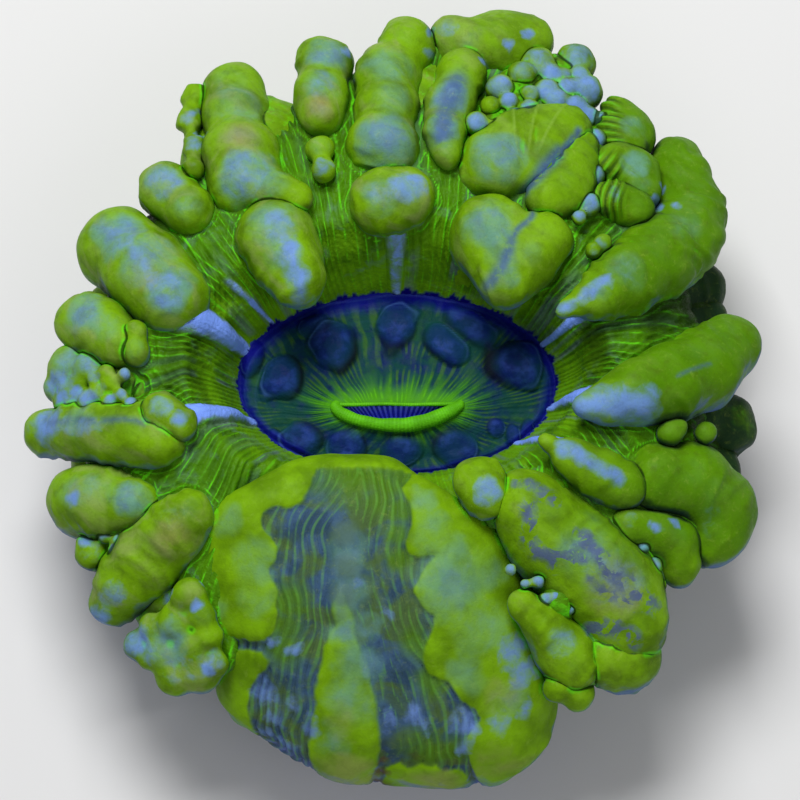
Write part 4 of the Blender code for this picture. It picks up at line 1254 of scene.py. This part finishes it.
disc_points[..., 2] += 0.06 * np.clip(wrinkle - 0.6, 0, 1) * np.clip(disc_out - 0.45, 0, 1)
disc_points[..., 2] += 0.25 * lumps(disc_points, 3.0, 6) * np.clip(disc_out * 3, 0, 1)
glints = 0.6 * np.clip(wrinkle - 0.8, 0, 1) * 5 * np.clip(disc_out - 0.6, 0, 1)
marks = {
    "streak": np.clip(streak * (0.4 + 0.8 * uneven), 0, 1),
    "hair": hair,
    "out": disc_out,
    "knob": knobs,
    "shade": np.clip(shade, 0, 1),
    "arc": np.clip(arcs + glints, 0, 1),
    "reach_of_green": 0.22 + 0.34 * uneven,
}
disc = piece_from_grid("oral_disc", disc_points, closed=True, marks=marks)

paint = Paint("disc_blue", roughness=0.6, shine=0.04)
paint.coat_of((10, 34, 84))
paint.coat_of((18, 68, 50), paint.noise(4.0, detail=4.0, low=0.28, high=0.58), 0.82)
paint.coat_of((6, 12, 74), paint.noise(2.5, warp=0.6, low=0.52, high=0.75), 0.5)
between = paint.without(paint.mark("knob", 0.0, 0.5))
thread = paint.both(paint.mark("hair", 0.35, 0.9), paint.noise(3.0, detail=4.0, low=0.42, high=0.62))
paint.coat_of((62, 104, 18), paint.both(between, thread), 0.55)
band = paint.both(paint.mark("streak", 0.2, 0.9), paint.noise(5.0, low=0.4, high=0.62))
paint.coat_of((46, 92, 20), paint.both(between, band), 0.45)
inner = paint.without(paint.math("DIVIDE", paint.mark("out"), paint.mark("reach_of_green")))
green = paint.both(paint.stretch(inner, 0.0, 0.7), paint.mark("streak", 0.0, 0.8))
paint.coat_of((58, 128, 12), green, 0.7)
paint.coat_of((74, 150, 10), paint.stretch(paint.math("SUBTRACT", 0.2, paint.mark("out")), 0.0, 0.17), 0.85)
hairs = paint.both(paint.stretch(inner, 0.1, 0.9), paint.mark("hair", 0.5, 1.0))
hairs = paint.both(hairs, paint.noise(2.0, low=0.4, high=0.62))
paint.coat_of((104, 196, 24), hairs, 0.4)
paint.coat_of((14, 28, 100), paint.mark("knob", 0.1, 1.0), 0.55)
light = paint.both(paint.mark("knob", 0.4, 0.95), paint.noise(2.5, detail=4.0, low=0.42, high=0.68))
paint.coat_of((44, 72, 152), light, 0.5)
paint.coat_of((20, 12, 26), paint.mark("shade"), 0.8)
wavy = paint.math("ADD", paint.mark("out"), paint.both(paint.noise(3.0, low=0.3, high=0.7), 0.06))
paint.coat_of((10, 8, 116), paint.stretch(wavy, 0.82, 0.95), 0.9)
paint.coat_of((80, 120, 190), paint.mark("arc"), 0.4)
disc.data.materials.append(paint.finish([(paint.noise(0.8), 0.04)], (0.45, 0.65, paint.noise(2.0))))
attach(disc, "root")

# ---------------------------------------------------------------------------------------------
# The mouth: a slit with a thin straight upper lip and a full bowed lower lip, both bright green
# and finely puckered, and the blue ribbed throat that goes down between them.

THROAT_TURNS = 384
THROAT_RINGS = 18
THROAT_RIBS = 64
THROAT_DEPTH = 7.0
# Share of the way down the throat, and how wide it is there.
THROAT_PROFILE = [(0, 1), (0.1, 0.97), (0.45, 0.45), (1, 0.3)]

throat_turns = turns_round(THROAT_TURNS)
throat_down = np.linspace(0, 1, THROAT_RINGS)[:, None]
narrow = np.interp(throat_down, *zip(*THROAT_PROFILE))
rib = 0.1 * np.sin(THROAT_RIBS * throat_turns) * np.clip(throat_down * 6, 0, 1)
lip_open = np.where(np.sin(throat_turns) > 0, *LIP_OPEN)
x = (LIP_HALF * (0.5 + 0.5 * narrow) + rib) * np.cos(throat_turns)
y = (lip_open * narrow + rib) * np.sin(throat_turns) + LIP_MIDDLE - 2.2 * (1 - narrow)
height = np.broadcast_to(DISC_PROFILE[0][1] - THROAT_DEPTH * throat_down, x.shape)
throat_points = np.stack([x, y, height], axis=-1)
marks = {"rib": 0.5 + 0.5 * np.sin(THROAT_RIBS * throat_turns), "down": throat_down}
throat = piece_from_grid("throat", throat_points, closed=True, marks=marks)
paint = Paint("throat_blue", roughness=0.5, shine=0.04)
paint.coat_of((56, 62, 186))
paint.coat_of((134, 146, 255), paint.mark("rib", 0.3, 0.8), 0.9)
# Painted shade: a dark line at the top of the throat, under the upper lip.
paint.coat_of((30, 6, 18), paint.without(paint.mark("down", 0.02, 0.08)))
# Painted shade: near black deep down the throat.
paint.coat_of((4, 4, 22), paint.mark("down", 0.55, 0.95))
throat.data.materials.append(paint.finish([(paint.noise(0.4), 0.05)]))
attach(throat, "root")

# The middle line of each lip, its radius from end to end, and its puckers.
LOWER_LIP = [
    (-8.9, -3.6, 26.2), (-9.3, -4.3, 26.3), (-8.6, -5.3, 26.4), (-6.0, -6.5, 26.5), (-2.5, -7.2, 26.5),
    (1.5, -7.3, 26.5), (5.0, -6.5, 26.5), (7.8, -5.2, 26.5), (9.3, -4.3, 26.4), (9.6, -3.6, 26.2),
]
LOWER_LIP_RADII = [0.5, 0.85, 0.9, 0.9, 0.95, 1.1, 1.15, 1.0, 0.8, 0.5]
LOWER_LIP_PUCKERS = 64
UPPER_LIP = [
    (-9.0, -4.0, 26.2), (-6.0, -4.1, 26.5), (-2.0, -3.95, 26.5), (2.0, -4.1, 26.5), (6.0, -4.0, 26.5),
    (9.2, -3.9, 26.2),
]
UPPER_LIP_RADII = [0.3, 0.28, 0.25, 0.28, 0.3]
UPPER_LIP_PUCKERS = 60
LIP_STEPS = 220
LIP_SIDES = 28


def lip(name, path, radii, puckers):
    """A puckered tube along a path, thinning towards its ends."""
    share = np.linspace(0, 1, LIP_STEPS)
    knots = np.linspace(0, 1, len(path))
    path = np.array(path, float)
    centre = np.stack([np.interp(share, knots, path[:, k]) for k in range(3)], axis=1)
    for _ in range(60):
        centre[1:-1] = 0.25 * centre[:-2] + 0.5 * centre[1:-1] + 0.25 * centre[2:]
    pucker = np.sin(2 * math.pi * puckers * share)
    radius = np.interp(share, np.linspace(0, 1, len(radii)), radii)
    radius = radius * (1 + 0.012 * pucker + 0.05 * np.sin(17 * share) * np.sin(41 * share))
    along = np.gradient(centre, axis=0)
    along /= np.linalg.norm(along, axis=1, keepdims=True)
    side = np.cross(along, [0, 0, 1.0])
    side /= np.linalg.norm(side, axis=1, keepdims=True)
    up = np.cross(side, along)
    around = turns_round(LIP_SIDES)[None, :, None]
    ring = np.cos(around) * side[:, None] + np.sin(around) * up[:, None]
    points = centre[:, None] + ring * radius[:, None, None]
    return piece_from_grid(name, points, closed=True, marks={"pucker": 0.5 + 0.5 * pucker[:, None]})


lower_lip = lip("lower_lip", LOWER_LIP, LOWER_LIP_RADII, LOWER_LIP_PUCKERS)
upper_lip = lip("upper_lip", UPPER_LIP, UPPER_LIP_RADII, UPPER_LIP_PUCKERS)
paint = Paint("lip_green", roughness=0.45)
paint.coat_of((92, 178, 20))
paint.coat_of((112, 212, 36), paint.mark("pucker", 0.3, 1.0), 0.4)
paint.coat_of((70, 140, 16), paint.noise(2.5), 0.5)
lip_green = paint.finish([(paint.noise(0.4), 0.03)])
for one in (lower_lip, upper_lip):
    one.data.materials.append(lip_green)
    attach(one, "root")

# ---------------------------------------------------------------------------------------------
# The floor, the light and the camera: a plain pale floor, a soft white sky with two square lamps,
# and a long lens.

floor_mesh = bpy.data.meshes.new("floor")
floor_mesh.from_pydata([(-2, -2, 0), (2, -2, 0), (2, 2, 0), (-2, 2, 0)], [], [(0, 1, 2, 3)])
floor = bpy.data.objects.new("floor", floor_mesh)
bpy.context.scene.collection.objects.link(floor)
floor_paint = bpy.data.materials.new("floor")
floor_paint.use_nodes = True
floor_surface = floor_paint.node_tree.nodes["Principled BSDF"]
floor_surface.inputs["Base Color"].default_value = (0.72, 0.72, 0.72, 1)
floor_surface.inputs["Roughness"].default_value = 0.9
floor_mesh.materials.append(floor_paint)

world = bpy.data.worlds.new("studio")
bpy.context.scene.world = world
world.use_nodes = True
sky = world.node_tree.nodes["Background"]
sky.inputs["Color"].default_value = (1, 1, 1, 1)
sky.inputs["Strength"].default_value = 0.22

LAMP_AIM = (0, 0, 0.025)


def lamp(name, place, size, watts):
    """A square lamp that looks at the middle of the coral."""
    data = bpy.data.lights.new(name, "AREA")
    data.size = size
    data.energy = watts
    made = bpy.data.objects.new(name, data)
    made.location = place
    toward = np.array(LAMP_AIM) - np.array(place)
    tilt = math.atan2(toward[2], math.hypot(toward[0], toward[1]))
    turn = math.atan2(toward[1], toward[0])
    made.rotation_euler = (math.pi / 2 + tilt, 0, turn - math.pi / 2)
    bpy.context.scene.collection.objects.link(made)


lamp("key", (-0.08, 0.30, 0.62), 0.30, 4.6)
lamp("fill", (0.25, -0.45, 0.5), 0.6, 1.0)

# The camera looks down steeply from the south, and 60 mm each side of its aim fill the view.
ELEVATION = math.radians(74)
AIM_HEIGHT = 0.024
HALF_VIEW = 0.060
LENS = 200
HALF_SENSOR = 18
# How far the view is moved off its middle, as shares of its width.
VIEW_SHIFT = (0.0037, -0.0213)
camera_data = bpy.data.cameras.new("camera")
camera_data.lens = LENS
camera = bpy.data.objects.new("camera", camera_data)
distance = HALF_VIEW * LENS / HALF_SENSOR
camera.location = (0, -math.cos(ELEVATION) * distance, math.sin(ELEVATION) * distance + AIM_HEIGHT)
camera.rotation_euler = (math.pi / 2 - ELEVATION, 0, 0)
camera_data.shift_x, camera_data.shift_y = VIEW_SHIFT
bpy.context.scene.collection.objects.link(camera)
bpy.context.scene.camera = camera
bpy.context.scene.view_settings.view_transform = "Standard"
